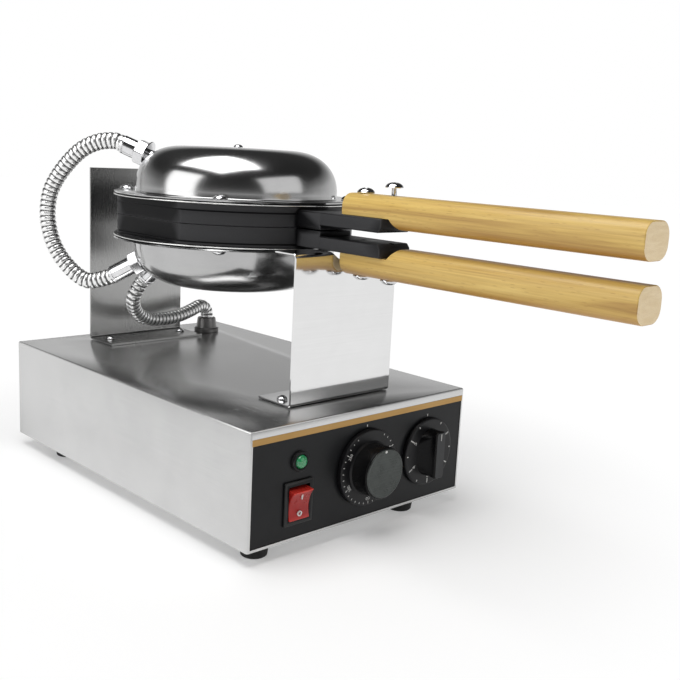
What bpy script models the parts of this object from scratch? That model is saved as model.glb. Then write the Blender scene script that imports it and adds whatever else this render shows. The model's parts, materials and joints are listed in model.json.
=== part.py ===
"""Electric waffle cone maker with a rolling two-plate iron, +Z up, in metres.

The origin is on the floor, under the middle of the machine's outer box. The control panel and the
wooden handles face -Y. The iron rolls half a turn about the Y axis line at ROLL_Z, and its upper half
opens about a pin along X behind the plates.
"""

from math import cos, pi, radians, sin

import bmesh
import bpy
from mathutils import Matrix, Vector

# Outer size
BASE_WIDTH = 0.230
BASE_LENGTH = 0.357
BASE_HEIGHT = 0.0895
FOOT_HEIGHT = 0.0115
HANDLE_REACH = 0.221  # how far the handles stand out past the panel
CORD_GLAND_PROUD = 0.003

# Places that follow from them
BASE_REAR_Y = (BASE_LENGTH + HANDLE_REACH + CORD_GLAND_PROUD) / 2 - CORD_GLAND_PROUD
BASE_Y = BASE_REAR_Y - BASE_LENGTH / 2  # the middle of the base
BASE_FRONT_Y = BASE_Y - BASE_LENGTH / 2
BASE_TOP_Z = FOOT_HEIGHT + BASE_HEIGHT
HANDLE_END_Y = BASE_FRONT_Y - HANDLE_REACH

GAP = 0.0003  # between pieces that touch
SHEET = 0.0012

# Fittings of the base
CORD_GLAND = (-0.060, BASE_REAR_Y, 0.034)
PAN_LOW, PAN_HIGH = FOOT_HEIGHT + 0.0008, FOOT_HEIGHT + 0.0020
FOOT_PLACES = {
    "foot_front_left": (-0.094, BASE_Y - 0.1605),
    "foot_front_right": (0.062, BASE_Y - 0.1605),
    "foot_rear_left": (-0.094, BASE_Y + 0.122),
    "foot_rear_right": (0.062, BASE_Y + 0.122),
}
SCREW_HOLE = 0.0023
PANEL_INSET = 0.0025  # from the housing's sides to its front window

# Iron
IRON_Y = BASE_Y - 0.0055
ROLL_Z = 0.2325
RIM_RADIUS = 0.104
RIM_BACK = 0.0180  # from the parting plane to the back of a plate's rim
RIM_LIP = 0.0020
WALL_RADIUS = 0.1008
SIDE_FLAT = 0.0895
CAVITY_RADIUS = 0.082
CAVITY_DEPTH = 0.0024
PARTING = 0.0002  # each half keeps this much clear of the parting plane
WEB_BACK = 0.0115
POCKET_RADIUS = 0.078
DOME_RADIUS = 0.0865
DOME_TOP = 0.0592
DOME_FLANGE = RIM_BACK + GAP
HEATER_RADIUS = 0.056
HEATER_TUBE = 0.0040
HEATER_STEPS = 22
SCREW_CIRCLE = 0.096
SCREW_ANGLES = (45, 135, 225, 315)

# Cast lug that carries each wooden handle
TONGUE_HALF_WIDTH = 0.0165
TONGUE_INNER = 0.0040
TONGUE_OUTER = 0.0142
TONGUE_ROOT_END = 0.1265  # distances forward of the iron's middle
TONGUE_END = 0.190
HANDLE_START = 0.1460
HANDLE_NOTCH_END = 0.1960
HANDLE_NOTCH_FOOT = 0.2010
HANDLE_HALF_WIDTH = 0.014
HANDLE_INNER = 0.0069
HANDLE_OUTER = 0.0305
HANDLE_SCREWS = (0.1574, 0.1860)
LOOSE_SCREW_LIFT = 0.0055

# Hinge and roll shaft behind the plates
HINGE_BACK = 0.1150  # from the iron's middle to the hinge pin
KNUCKLE_RADIUS = 0.009
PIN_RADIUS = 0.003
LOWER_KNUCKLE = 0.0085
UPPER_KNUCKLE = (0.0090, 0.0190)
SHAFT_BOSS_FRONT = 0.126
SHAFT_BOSS_BACK = 0.136
SHAFT_RADIUS = 0.006

# Supports
SUPPORT_SHEET = 0.0018
FOLD_RADIUS = 0.0026
FRONT_SUPPORT_Y = BASE_Y - 0.148  # front face of its plate
FRONT_SUPPORT_TOP = ROLL_Z - TONGUE_OUTER - GAP
FRONT_SUPPORT_HALF = 0.0535
FRONT_TOP_FLANGE = 0.023
FRONT_FOOT_FLANGE = 0.037
CRADLE_RADIUS = 0.0222
REAR_SUPPORT_Y = BASE_Y + 0.154  # front face of its plate
REAR_SUPPORT_TOP = 0.2665
REAR_SUPPORT_HALF = 0.052
REAR_FOOT_FLANGE = 0.040

# Controls, as places on the panel
PANEL_RECESS = 0.0005
PANEL_Y = BASE_FRONT_Y + PANEL_RECESS
LAMP_X, LAMP_Z = -0.0686, 0.0715
SWITCH_X, SWITCH_Z = -0.0690, 0.0405
DIAL_X, DIAL_Z = 0.0, 0.0540
TIMER_X, TIMER_Z = 0.0705, 0.0535
SWITCH_SIZE = (0.0270, 0.0335)
ROCKER_TILT = 10  # degrees each side of the middle

# Hoses
HOSE_RADIUS = 0.0072
LINK_PLANE = 127  # degrees from +X of the vertical plane that the link hose lies in
UPPER_FITTING = (0.0862, 0.0505, 21)  # radius and height of the nut from the iron's middle, and its slope
LOWER_FITTING = (0.0895, -0.0454, -29)
NUT_THICK = 0.010
NUT_RADIUS = 0.0115
UPPER_FERRULE = 0.0145
LOWER_FERRULE = 0.0225
BASE_FITTING = (0.0850, -0.0520, -42)
BASE_FITTING_PLANE = 110
BASE_FERRULE = 0.0120
HOSE_GLAND = (0.072, BASE_Y + 0.135)
BASE_GLAND_HEIGHT = 0.0145

OUT = (0, -1, 0)  # out of the panel
BACK = (0, 1, 0)
UP = (0, 0, 1)

ROUND = 20  # sides of a small round piece
HOLE_ROUND = 12
KNOB_ROUND = 32
BIG_ROUND = 40  # sides of the plates and domes


# ---------------------------------------------------------------- scene and materials

def clear_scene():
    for obj in list(bpy.data.objects):
        bpy.data.objects.remove(obj, do_unlink=True)


def collection(name):
    made = bpy.data.collections.new(name)
    bpy.context.scene.collection.children.link(made)
    return made


def material(name, colour, roughness, metallic=0.0):
    made = bpy.data.materials.new(name)
    made.use_nodes = True
    shader = made.node_tree.nodes["Principled BSDF"]
    shader.inputs["Base Color"].default_value = (*colour, 1)
    shader.inputs["Roughness"].default_value = roughness
    shader.inputs["Metallic"].default_value = metallic
    made.diffuse_color = (*colour, 1)
    return made


clear_scene()
PARTS = collection("waffle_cone_maker")
CUTTERS = collection("cutters")
CUTTERS.hide_render = True

BRUSHED = material("brushed_stainless", (0.70, 0.70, 0.69), 0.30, 1.0)
POLISHED = material("polished_steel", (0.62, 0.62, 0.62), 0.12, 1.0)
CHROME = material("chrome", (0.75, 0.75, 0.76), 0.10, 1.0)
CAST = material("black_coated_casting", (0.02, 0.02, 0.021), 0.45)
WOOD = material("beech", (0.72, 0.47, 0.21), 0.50)
BLACK = material("black_panel", (0.025, 0.025, 0.027), 0.35)
KNOB = material("black_knob", (0.02, 0.02, 0.02), 0.30)
RED = material("red_rocker", (0.62, 0.03, 0.02), 0.25)
GREEN = material("green_lens", (0.03, 0.38, 0.12), 0.15)
RUBBER = material("black_rubber", (0.02, 0.02, 0.02), 0.80)
BRONZE = material("bronze_bush", (0.55, 0.36, 0.16), 0.35, 1.0)
CERAMIC = material("white_ceramic", (0.80, 0.79, 0.75), 0.55)
INNER = material("grey_inner_plastic", (0.30, 0.30, 0.31), 0.50)


# ---------------------------------------------------------------- shapes

def add_mesh(name, bm, surface, home=None):
    """A new object from this bmesh, in the parts collection unless another is given."""
    mesh = bpy.data.meshes.new(name)
    bm.normal_update()
    bm.to_mesh(mesh)
    bm.free()
    obj = bpy.data.objects.new(name, mesh)
    (home or PARTS).objects.link(obj)
    if surface:
        mesh.materials.append(surface)
    if mesh.polygons:
        mesh.shade_smooth()
        mesh.set_sharp_from_angle(angle=radians(35))
    return obj


def prism(name, outline, half_width, surface=None, home=None):
    """A closed (y, z) outline drawn out across X, half_width to each side."""
    bm = bmesh.new()
    side = bm.faces.new([bm.verts.new((-half_width, y, z)) for y, z in outline])
    grown = bmesh.ops.extrude_face_region(bm, geom=[side])
    moved = [item for item in grown["geom"] if isinstance(item, bmesh.types.BMVert)]
    bmesh.ops.translate(bm, verts=moved, vec=(2 * half_width, 0, 0))
    bmesh.ops.recalc_face_normals(bm, faces=bm.faces[:])
    return add_mesh(name, bm, surface, home)


def add_bevel(obj, width, segments=2):
    bevel = obj.modifiers.new("bevel", "BEVEL")
    bevel.width = width
    bevel.segments = segments
    bevel.limit_method = "ANGLE"
    return obj


def box(name, low, high, surface=None, bevel=0.0, segments=2, home=None):
    """A box between two corners, with its edges rounded by the bevel."""
    bm = bmesh.new()
    bmesh.ops.create_cube(bm, size=1)
    size = [b - a for a, b in zip(low, high)]
    middle = [(a + b) / 2 for a, b in zip(low, high)]
    bmesh.ops.transform(bm, matrix=Matrix.LocRotScale(middle, None, size), verts=bm.verts)
    obj = add_mesh(name, bm, surface, home)
    return add_bevel(obj, bevel, segments) if bevel else obj


def aim(obj, base, axis):
    """Puts the object's origin at base, and its +Z along axis."""
    obj.location = base
    obj.rotation_euler = Vector(axis).to_track_quat("Z", "Y").to_euler()
    return obj


def rod(name, radius, low, high, surface=None, sides=ROUND, home=None):
    """A cylinder along local Z from low to high."""
    bm = bmesh.new()
    bmesh.ops.create_cone(
        bm, cap_ends=True, segments=sides, radius1=radius, radius2=radius, depth=high - low
    )
    bmesh.ops.translate(bm, verts=bm.verts, vec=(0, 0, (low + high) / 2))
    return add_mesh(name, bm, surface, home)


def profile_edges(points, closed):
    bm = bmesh.new()
    corners = [bm.verts.new((r, 0, z)) for r, z in points]
    pairs = list(zip(corners, corners[1:]))
    if closed:
        pairs.append((corners[-1], corners[0]))
    for pair in pairs:
        bm.edges.new(pair)
    return bm


def turned(name, points, surface=None, steps=ROUND, closed=False, home=None):
    """The (radius, height) points, down the outer side, turned about local Z. A ring's are closed."""
    obj = add_mesh(name, profile_edges(points, closed), surface, home)
    screw = obj.modifiers.new("turn", "SCREW")
    screw.steps = screw.render_steps = steps
    screw.use_merge_vertices = True
    screw.merge_threshold = 0.00001
    screw.use_smooth_shade = True
    return obj


def boolean(obj, tool, operation):
    """Cuts the tool from the object, or joins it on. The tool is then only a helper."""
    step = obj.modifiers.new(operation.lower(), "BOOLEAN")
    step.operation = operation
    step.object = tool
    tool.hide_render = True
    tool.display_type = "WIRE"
    if tool.name in PARTS.objects:
        PARTS.objects.unlink(tool)
        CUTTERS.objects.link(tool)
    return obj


def cut(obj, *tools):
    for tool in tools:
        boolean(obj, tool, "DIFFERENCE")
    return obj


def join(obj, *tools):
    for tool in tools:
        boolean(obj, tool, "UNION")
    return obj


def fold(corners, radius, steps=4):
    """The polyline with each of its right-angled inner corners replaced by an arc."""
    path = [Vector(corners[0])]
    for before, corner, after in zip(corners, corners[1:], corners[2:]):
        corner = Vector(corner)
        back = (Vector(before) - corner).normalized() * radius
        on = (Vector(after) - corner).normalized() * radius
        centre = corner + back + on
        for i in range(steps + 1):
            turn = i / steps * pi / 2
            path.append(centre - on * cos(turn) - back * sin(turn))
    path.append(Vector(corners[-1]))
    return path


def bent_sheet(name, corners, half_width, surface):
    """Sheet bent along the (y, z) corners of its middle line, across X."""
    bm = bmesh.new()
    path = [bm.verts.new((-half_width, y, z)) for y, z in fold(corners, FOLD_RADIUS)]
    for pair in zip(path, path[1:]):
        bm.edges.new(pair)
    strip = bmesh.ops.extrude_edge_only(bm, edges=bm.edges[:])
    moved = [item for item in strip["geom"] if isinstance(item, bmesh.types.BMVert)]
    bmesh.ops.translate(bm, verts=moved, vec=(2 * half_width, 0, 0))
    obj = add_mesh(name, bm, surface)
    shell = obj.modifiers.new("thickness", "SOLIDIFY")
    shell.thickness = SUPPORT_SHEET
    shell.offset = 0
    shell.use_even_offset = True
    return obj


def smooth_route(points, steps):
    """Points along a smooth curve through these ones, this many for each stretch."""
    ends = [2 * points[0] - points[1], *points, 2 * points[-1] - points[-2]]
    route = []
    for a, b, c, d in zip(ends, ends[1:], ends[2:], ends[3:]):
        for i in range(steps):
            t = i / steps
            route.append(
                0.5 * (2 * b + (c - a) * t + (2 * a - 5 * b + 4 * c - d) * t**2
                       + (3 * b - a - 3 * c + d) * t**3)
            )
    return [*route, points[-1]]


def tube(name, points, radius, surface, cyclic=False):
    curve = bpy.data.curves.new(name, "CURVE")
    curve.dimensions = "3D"
    curve.bevel_depth = radius
    curve.bevel_resolution = 2
    curve.use_fill_caps = True
    line = curve.splines.new("POLY")
    line.points.add(len(points) - 1)
    for slot, point in zip(line.points, points):
        slot.co = (*point, 1)
    line.use_cyclic_u = cyclic
    curve.materials.append(surface)
    obj = bpy.data.objects.new(name, curve)
    PARTS.objects.link(obj)
    return obj


def pan_screw(name, seat, axis, shank, surface=CHROME, head=0.0045, lift=0.0):
    """A pan-head screw whose head stands along the axis from the seat, lifted off it by the lift."""
    tall = 0.6 * head
    under = GAP + lift
    points = [
        (0, under + tall), (0.55 * head, under + tall), (0.88 * head, under + 0.7 * tall),
        (head, under), (0.0020, under), (0.0020, -shank), (0, -shank),
    ]
    return aim(turned(name, points, surface, steps=10), seat, axis)


def hollow(name, radius, low, high, seat, axis, sides=ROUND):
    """A round cutter along the axis, from low to high past the seat."""
    return aim(rod(name, radius, low, high, None, sides, CUTTERS), seat, axis)


def group(name, location, turn=0.0):
    """An empty that the pieces of a moving body ride on, turned about Y."""
    empty = bpy.data.objects.new(name, None)
    empty.location = location
    empty.rotation_euler = (0, turn, 0)
    PARTS.objects.link(empty)
    return empty


def ride(empty, *pieces):
    """Parents pieces that are placed in the empty's own frame, and the tools that shape them."""
    for piece in pieces:
        piece.parent = empty
        for step in piece.modifiers:
            if step.type == "BOOLEAN":
                step.object.parent = empty


# ---------------------------------------------------------------- base

def panel_place(x, z):
    return (x, PANEL_Y, z)


def support_screw_places():
    """(name, seat) of the four screws that hold the two supports to the base."""
    seat_z = BASE_TOP_Z + GAP + SUPPORT_SHEET
    for side, sign in (("left", -1), ("right", 1)):
        yield f"front_support_screw_{side}", (sign * 0.0445, FRONT_SUPPORT_Y + 0.020, seat_z)
        yield f"rear_support_screw_{side}", (sign * 0.0400, REAR_SUPPORT_Y - 0.017, seat_z)


def make_housing():
    """The folded steel cover, open below, with a window in front for the panel."""
    half = BASE_WIDTH / 2
    low, high = (-half, BASE_FRONT_Y, FOOT_HEIGHT), (half, BASE_REAR_Y, BASE_TOP_Z)
    housing = box("base_housing", low, high, BRUSHED)
    bm = bmesh.new()
    bm.from_mesh(housing.data)
    floor = [face for face in bm.faces if face.normal.z < -0.5]
    bmesh.ops.delete(bm, geom=floor, context="FACES_ONLY")
    bm.to_mesh(housing.data)
    bm.free()
    add_bevel(housing, 0.0015)
    shell = housing.modifiers.new("thickness", "SOLIDIFY")
    shell.thickness = SHEET
    shell.offset = -1
    shell.use_even_offset = True
    side = half - PANEL_INSET
    window = box("panel_window", (-side, low[1] - 0.01, 0.0135), (side, low[1] + 0.01, 0.093))
    cut(housing, window)
    for name, seat in support_screw_places():
        cut(housing, hollow(name + "_hole", SCREW_HOLE, -0.010, 0.002, seat, UP, HOLE_ROUND))
    cut(housing, hollow("hose_gland_hole", 0.0083, -0.010, 0.004, (*HOSE_GLAND, BASE_TOP_Z), UP))
    cut(housing, hollow("cord_gland_hole", 0.0083, -0.010, 0.004, CORD_GLAND, BACK))


def make_pan_and_feet():
    inset = SHEET + GAP
    half = BASE_WIDTH / 2 - inset
    low, high = (-half, BASE_FRONT_Y + inset, PAN_LOW), (half, BASE_REAR_Y - inset, PAN_HIGH)
    box("bottom_pan", low, high, BRUSHED)
    top = PAN_LOW - GAP
    for name, (x, y) in FOOT_PLACES.items():
        profile = [
            (0, top), (0.0108, top), (0.0112, top - 0.002), (0.0100, 0.0008), (0.0090, 0), (0, 0),
        ]
        turned(name, profile, RUBBER).location = (x, y, 0)


def make_panel():
    half = BASE_WIDTH / 2 - PANEL_INSET - GAP
    panel = box("control_panel", (-half, PANEL_Y, 0.0138), (half, PANEL_Y + SHEET, 0.0927), BLACK)
    cut(panel, hollow("lamp_hole", 0.0061, -0.01, 0.01, panel_place(LAMP_X, LAMP_Z), OUT))
    for name, x, z in (("dial_hole", DIAL_X, DIAL_Z), ("timer_hole", TIMER_X, TIMER_Z)):
        cut(panel, hollow(name, 0.0045, -0.01, 0.01, panel_place(x, z), OUT))
    x, z = SWITCH_SIZE[0] / 2 - 0.0012, SWITCH_SIZE[1] / 2 - 0.0015
    low = (SWITCH_X - x, PANEL_Y - 0.01, SWITCH_Z - z)
    high = (SWITCH_X + x, PANEL_Y + 0.01, SWITCH_Z + z)
    cut(panel, box("switch_hole", low, high))


def make_lamp():
    bezel = [
        (0.0064, 0.0026), (0.0078, 0.0018), (0.0078, GAP), (0.0058, GAP), (0.0058, -0.020),
        (0.0030, -0.020), (0.0030, -0.004), (0.0054, -0.004), (0.0054, 0.0026),
    ]
    lens = [
        (0, 0.0058), (0.0024, 0.0052), (0.0042, 0.0036), (0.0051, 0.0018), (0.0051, -0.0037), (0, -0.0037),
    ]
    place = panel_place(LAMP_X, LAMP_Z)
    aim(turned("lamp_bezel", bezel, KNOB, closed=True), place, OUT)
    aim(turned("lamp_lens", lens, GREEN), place, OUT)


def make_switch():
    """The rocker's housing, and the rocker resting with its lower side pressed."""
    half_x, half_z = SWITCH_SIZE[0] / 2, SWITCH_SIZE[1] / 2
    y = PANEL_Y

    def block(name, x, z, front, back, surface=None, bevel=0.0):
        low = (SWITCH_X - x, y - front, SWITCH_Z - z)
        return box(name, low, (SWITCH_X + x, y - back, SWITCH_Z + z), surface, bevel)

    housing = block("switch_housing", half_x, half_z, 0.0020, GAP, KNOB)
    join(housing, block("switch_body", half_x - 0.0015, half_z - 0.0018, 0.0010, -0.026))
    cut(housing, block("switch_pocket", 0.0108, 0.0143, 0.0030, -0.0115))

    pivot = Vector((SWITCH_X, y + 0.0030, SWITCH_Z))
    empty = group("rocker_pivot", pivot)
    outline = [
        (-0.0085, 0.0129), (-0.0056, 0), (-0.0085, -0.0129), (0.0015, -0.0122), (0.0070, -0.005),
        (0.0070, 0.005), (0.0015, 0.0122),
    ]
    rocker = add_bevel(prism("switch_rocker", outline, 0.0103, RED), 0.0005)
    rocker.rotation_euler = (radians(ROCKER_TILT), 0, 0)
    ride(empty, rocker)


def make_dials():
    """The thermostat and the timer: a body behind the panel, a spindle and a knob each."""
    behind = -SHEET - GAP
    dial, timer = panel_place(DIAL_X, DIAL_Z), panel_place(TIMER_X, TIMER_Z)
    for name, place, half, depth in (
        ("thermostat_body", dial, (0.020, 0.017), 0.024), ("timer_body", timer, (0.021, 0.024), 0.030)
    ):
        low = (place[0] - half[0], PANEL_Y - behind, place[2] - half[1])
        high = (place[0] + half[0], PANEL_Y - behind + depth, place[2] + half[1])
        body = box(name, low, high, INNER, 0.0010, 1)
        cut(body, hollow(name + "_bore", 0.0034, behind - 0.0120, 0.002, place, OUT))

    skirt, cap_foot, cap_edge, cap_top = 0.0305, 0.0065, 0.0198, 0.0220
    knob_profile = [
        (0, cap_top - 0.0006), (0.0150, cap_top), (cap_edge, cap_top), (0.0205, cap_top - 0.0010),
        (0.0205, cap_foot), (skirt - 0.0008, 0.0052), (skirt, 0.0040), (skirt, 0.0010), (0, 0.0010),
    ]
    knob = aim(turned("thermostat_knob", knob_profile, KNOB, steps=KNOB_ROUND), dial, OUT)
    cut(knob, hollow("thermostat_knob_bore", 0.0033, -0.002, 0.0140, dial, OUT))

    skirt, face, top = 0.0285, 0.0040, 0.0165
    profile = [(0, face), (skirt - 0.0030, face), (skirt, face - 0.0018), (skirt, 0.0010), (0, 0.0010)]
    timer_knob = aim(turned("timer_knob", profile, KNOB, steps=KNOB_ROUND), timer, OUT)
    low = (timer[0] - 0.0092, PANEL_Y - top, timer[2] - 0.0200)
    high = (timer[0] + 0.0092, PANEL_Y - face + 0.0010, timer[2] + 0.0200)
    join(timer_knob, box("timer_grip", low, high, None, 0.0020))
    cut(timer_knob, hollow("timer_knob_bore", 0.0033, -0.002, 0.0120, timer, OUT))

    for name, place, reach in (("thermostat_spindle", dial, 0.0137), ("timer_spindle", timer, 0.0117)):
        aim(rod(name, 0.0030, behind - 0.0117, reach, CHROME), place, OUT)
    for axis, place in (("thermostat", dial), ("timer", timer)):
        empty = group(axis + "_axis", place)
        for piece in (axis + "_knob", axis + "_spindle"):
            obj = bpy.data.objects[piece]
            obj.parent = empty
            obj.location = (0, 0, 0)


def make_inner_and_rear():
    """The terminal block on the pan, and the gland for the power cord in the rear wall."""
    z = PAN_HIGH + GAP
    low, high = (-0.045, BASE_REAR_Y - 0.060, z), (0.005, BASE_REAR_Y - 0.040, z + 0.018)
    block = box("terminal_block", low, high, CERAMIC, 0.0012, 1)
    for i in range(3):
        seat = (-0.036 + i * 0.016, BASE_REAR_Y - 0.050, z + 0.018)
        cut(block, hollow(f"terminal_bore_{i}", 0.0035, -0.008, 0.002, seat, UP, HOLE_ROUND))
    ring = [
        (0.0105, CORD_GLAND_PROUD), (0.0115, 0.0018), (0.0115, GAP), (0.0080, GAP), (0.0080, -0.012),
        (0.0045, -0.012), (0.0045, CORD_GLAND_PROUD),
    ]
    aim(turned("cord_gland", ring, RUBBER, closed=True), CORD_GLAND, BACK)


def make_supports():
    """The bent front support with its round cradle, and the rear one with its bush."""
    half = SUPPORT_SHEET / 2
    foot_z = BASE_TOP_Z + GAP + half
    plate_y, top_z = FRONT_SUPPORT_Y + half, FRONT_SUPPORT_TOP - half
    corners = [(plate_y + FRONT_TOP_FLANGE, top_z), (plate_y, top_z), (plate_y, foot_z),
               (plate_y + FRONT_FOOT_FLANGE, foot_z)]
    front = bent_sheet("front_support", corners, FRONT_SUPPORT_HALF, POLISHED)
    cut(front, hollow("cradle", CRADLE_RADIUS, -0.04, 0.02, (0, FRONT_SUPPORT_Y, ROLL_Z), OUT, BIG_ROUND))

    plate_y = REAR_SUPPORT_Y + half
    corners = [(plate_y - REAR_FOOT_FLANGE, foot_z), (plate_y, foot_z), (plate_y, REAR_SUPPORT_TOP)]
    rear = bent_sheet("rear_support", corners, REAR_SUPPORT_HALF, BRUSHED)
    cut(rear, hollow("bush_hole", 0.0088, -0.01, 0.01, (0, plate_y, ROLL_Z), OUT))
    for name, seat in support_screw_places():
        target = front if name.startswith("front") else rear
        cut(target, hollow(name + "_clearance", SCREW_HOLE, -0.005, 0.002, seat, UP, HOLE_ROUND))
        pan_screw(name, seat, UP, 0.012)

    back = SUPPORT_SHEET + GAP
    bore = SHAFT_RADIUS + 0.0001
    bush = [(0.0115, 0.0020), (0.0115, GAP), (0.0085, GAP), (0.0085, -back), (bore, -back), (bore, 0.0020)]
    aim(turned("pivot_bush", bush, BRONZE, closed=True), (0, REAR_SUPPORT_Y, ROLL_Z), OUT)


# ---------------------------------------------------------------- iron

def dome_profile():
    """(radius, height) down the dome's outer side: a flat crown, a rounded shoulder and the flange."""
    flat, power = 0.045, 2.4
    foot = DOME_FLANGE + SHEET + 0.0012
    rise = DOME_TOP - foot
    points = [(0, DOME_TOP), (flat / 2, DOME_TOP)]
    steps = 6
    for i in range(steps + 1):
        angle = pi / 2 * (1 - i / steps)
        out, up = abs(cos(angle)) ** (2 / power), sin(angle) ** (2 / power)
        points.append((flat + (DOME_RADIUS - flat) * out, foot + rise * up))
    points.append((DOME_RADIUS + 0.0012, DOME_FLANGE + SHEET))
    points.append((RIM_RADIUS, DOME_FLANGE + SHEET))
    return points


def plate_profile():
    """(radius, height) of a cast plate, from the middle of its back to the middle of its face."""
    return [
        (0, WEB_BACK), (POCKET_RADIUS, WEB_BACK), (POCKET_RADIUS, RIM_BACK), (RIM_RADIUS, RIM_BACK),
        (RIM_RADIUS, RIM_BACK - RIM_LIP), (WALL_RADIUS - 0.0008, RIM_BACK - RIM_LIP),
        (WALL_RADIUS - 0.0008, 0.0114), (WALL_RADIUS, 0.0108), (WALL_RADIUS, PARTING),
        (CAVITY_RADIUS, PARTING), (CAVITY_RADIUS - 0.0008, PARTING + CAVITY_DEPTH),
        (0, PARTING + CAVITY_DEPTH),
    ]


def fitting_frame(fitting, plane):
    """The place of a hose nut's middle, and the way that its hose leaves, in the half's own frame."""
    radius, height, slope = fitting
    across = Vector((cos(radians(plane)), sin(radians(plane)), 0))
    middle = across * radius + Vector((0, 0, height))
    return middle, (across * cos(radians(slope)) + Vector((0, 0, sin(radians(slope))))).normalized()


def turned_over(fitting):
    """The same fitting in the frame of the lower half, which is turned half round about Y."""
    radius, height, slope = fitting
    return radius, -height, -slope


def hose_fitting(name, middle, way, ferrule, stub):
    """A hexagon nut with a smooth ferrule for the hose, and a stub through the dome."""
    half = NUT_THICK / 2
    nut = rod(name, NUT_RADIUS, -half, half, CHROME, sides=6)
    add_bevel(nut, 0.0008, 1)
    tail = HOSE_RADIUS + 0.0008
    end = half + ferrule
    profile = [
        (0, end), (tail - 0.0008, end), (tail, end - 0.001), (tail, half - 0.001), (0.0088, half - 0.001),
        (0.0088, -half - 0.0004), (0.0060, -half - 0.0004), (0.0060, -half - stub), (0, -half - stub),
    ]
    barrel = turned(name + "_barrel", profile)
    for piece in (nut, barrel):
        aim(piece, middle, way)
    return join(nut, barrel)


def make_plate(half, knuckles):
    """A cast plate with its handle tongue, its side flats and its hinge knuckles."""
    plate = turned(half + "_plate", plate_profile(), CAST, steps=BIG_ROUND)
    for side in (-1, 1):
        low = (side * SIDE_FLAT if side > 0 else -0.12, -0.09, -0.002)
        high = (0.12 if side > 0 else -SIDE_FLAT, 0.09, RIM_BACK - RIM_LIP)
        cut(plate, box(f"{half}_flat_{side}", low, high))
    w = TONGUE_HALF_WIDTH
    low, high = (-w, -TONGUE_ROOT_END, PARTING), (w, -0.090, TONGUE_OUTER)
    root = box(f"{half}_tongue_root", low, high, None, 0.0012)
    low, high = (-w, -TONGUE_END, TONGUE_INNER), (w, 0.010 - TONGUE_ROOT_END, TONGUE_OUTER)
    tongue = box(f"{half}_tongue", low, high, None, 0.0012)
    join(plate, root, tongue)
    for i, (low_x, high_x) in enumerate(knuckles):
        arm = box(f"{half}_arm_{i}", (low_x, 0.092, PARTING), (high_x, HINGE_BACK, KNUCKLE_RADIUS))
        eye = rod(f"{half}_eye_{i}", KNUCKLE_RADIUS, low_x, high_x, sides=24)
        aim(eye, (0, HINGE_BACK, 0), (1, 0, 0))
        join(plate, arm, eye)
    return plate


def make_half(half, turn, fittings, knuckles):
    """What both halves of the iron share. Each is made upwards from the parting plane."""
    empty = group(half + "_half", (0, IRON_Y, ROLL_Z), turn)
    plate = make_plate(half, knuckles)
    dome = turned(half + "_dome", dome_profile(), POLISHED, steps=BIG_ROUND)
    shell = dome.modifiers.new("thickness", "SOLIDIFY")
    shell.thickness = SHEET
    shell.offset = -1
    shell.use_even_offset = True
    pieces = [plate, dome]

    flange_top = DOME_FLANGE + SHEET
    for angle in SCREW_ANGLES:
        seat = (SCREW_CIRCLE * cos(radians(angle)), SCREW_CIRCLE * sin(radians(angle)), flange_top)
        hole = hollow(f"{half}_dome_screw_hole_{angle}", SCREW_HOLE, -0.0095, 0.002, seat, UP, HOLE_ROUND)
        cut(plate, hole)
        cut(dome, hole)
        pieces.append(pan_screw(f"{half}_dome_screw_{angle}", seat, UP, 0.0085, head=0.0058))

    crown = (0, 0, DOME_TOP)
    cut(dome, hollow(half + "_crown_hole", SCREW_HOLE, -0.004, 0.002, crown, UP, HOLE_ROUND))
    pieces.append(pan_screw(half + "_crown_screw", crown, UP, 0.006, head=0.0040))

    rise = WEB_BACK + GAP + HEATER_TUBE + 0.0002
    ring = []
    for i in range(HEATER_STEPS + 1):
        angle = radians(100 + 340 * i / HEATER_STEPS)
        ring.append((HEATER_RADIUS * cos(angle), HEATER_RADIUS * sin(angle), rise))
    pieces.append(tube(half + "_heater", ring, HEATER_TUBE, BRUSHED))

    for name, fitting, plane, ferrule, stub in fittings:
        middle, way = fitting_frame(fitting, plane)
        cut(dome, hollow(name + "_hole", 0.0064, -NUT_THICK / 2 - stub - 0.002, 0, middle, way))
        pieces.append(hose_fitting(name, middle, way, ferrule, stub))

    pieces += make_handle(half, plate)
    ride(empty, *pieces)


def make_handle(half, plate):
    """The wooden handle, notched over the tongue, and its two screws."""
    w = HANDLE_HALF_WIDTH
    reach = IRON_Y - HANDLE_END_Y
    low, high = (-w, -reach, HANDLE_INNER), (w, -HANDLE_START, HANDLE_OUTER)
    handle = box(half + "_handle", low, high, WOOD, 0.0062, 3)
    seat = TONGUE_OUTER + GAP
    past = 0.01  # how far the cutter runs past the handle
    outline = [
        (past - HANDLE_START, 0), (past - HANDLE_START, seat), (-HANDLE_NOTCH_END, seat),
        (-HANDLE_NOTCH_FOOT, HANDLE_INNER), (-HANDLE_NOTCH_FOOT, 0),
    ]
    cut(handle, prism(half + "_handle_notch", outline, w + past))
    pieces = [handle]
    for i, forward in enumerate(HANDLE_SCREWS):
        place = (0, -forward, HANDLE_OUTER)
        hole = hollow(f"{half}_handle_hole_{i}", SCREW_HOLE, -0.030, 0.002, place, UP, HOLE_ROUND)
        cut(handle, hole)
        cut(plate, hole)
        loose = half == "upper" and i == 1
        lift = LOOSE_SCREW_LIFT if loose else 0.0
        shank = HANDLE_OUTER - TONGUE_INNER - (lift + 0.001 if loose else 0.001)
        name = f"{half}_handle_screw_{'rear' if i == 0 else 'front'}"
        pieces.append(pan_screw(name, place, UP, shank, head=0.0068, lift=lift))
    return pieces


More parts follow.
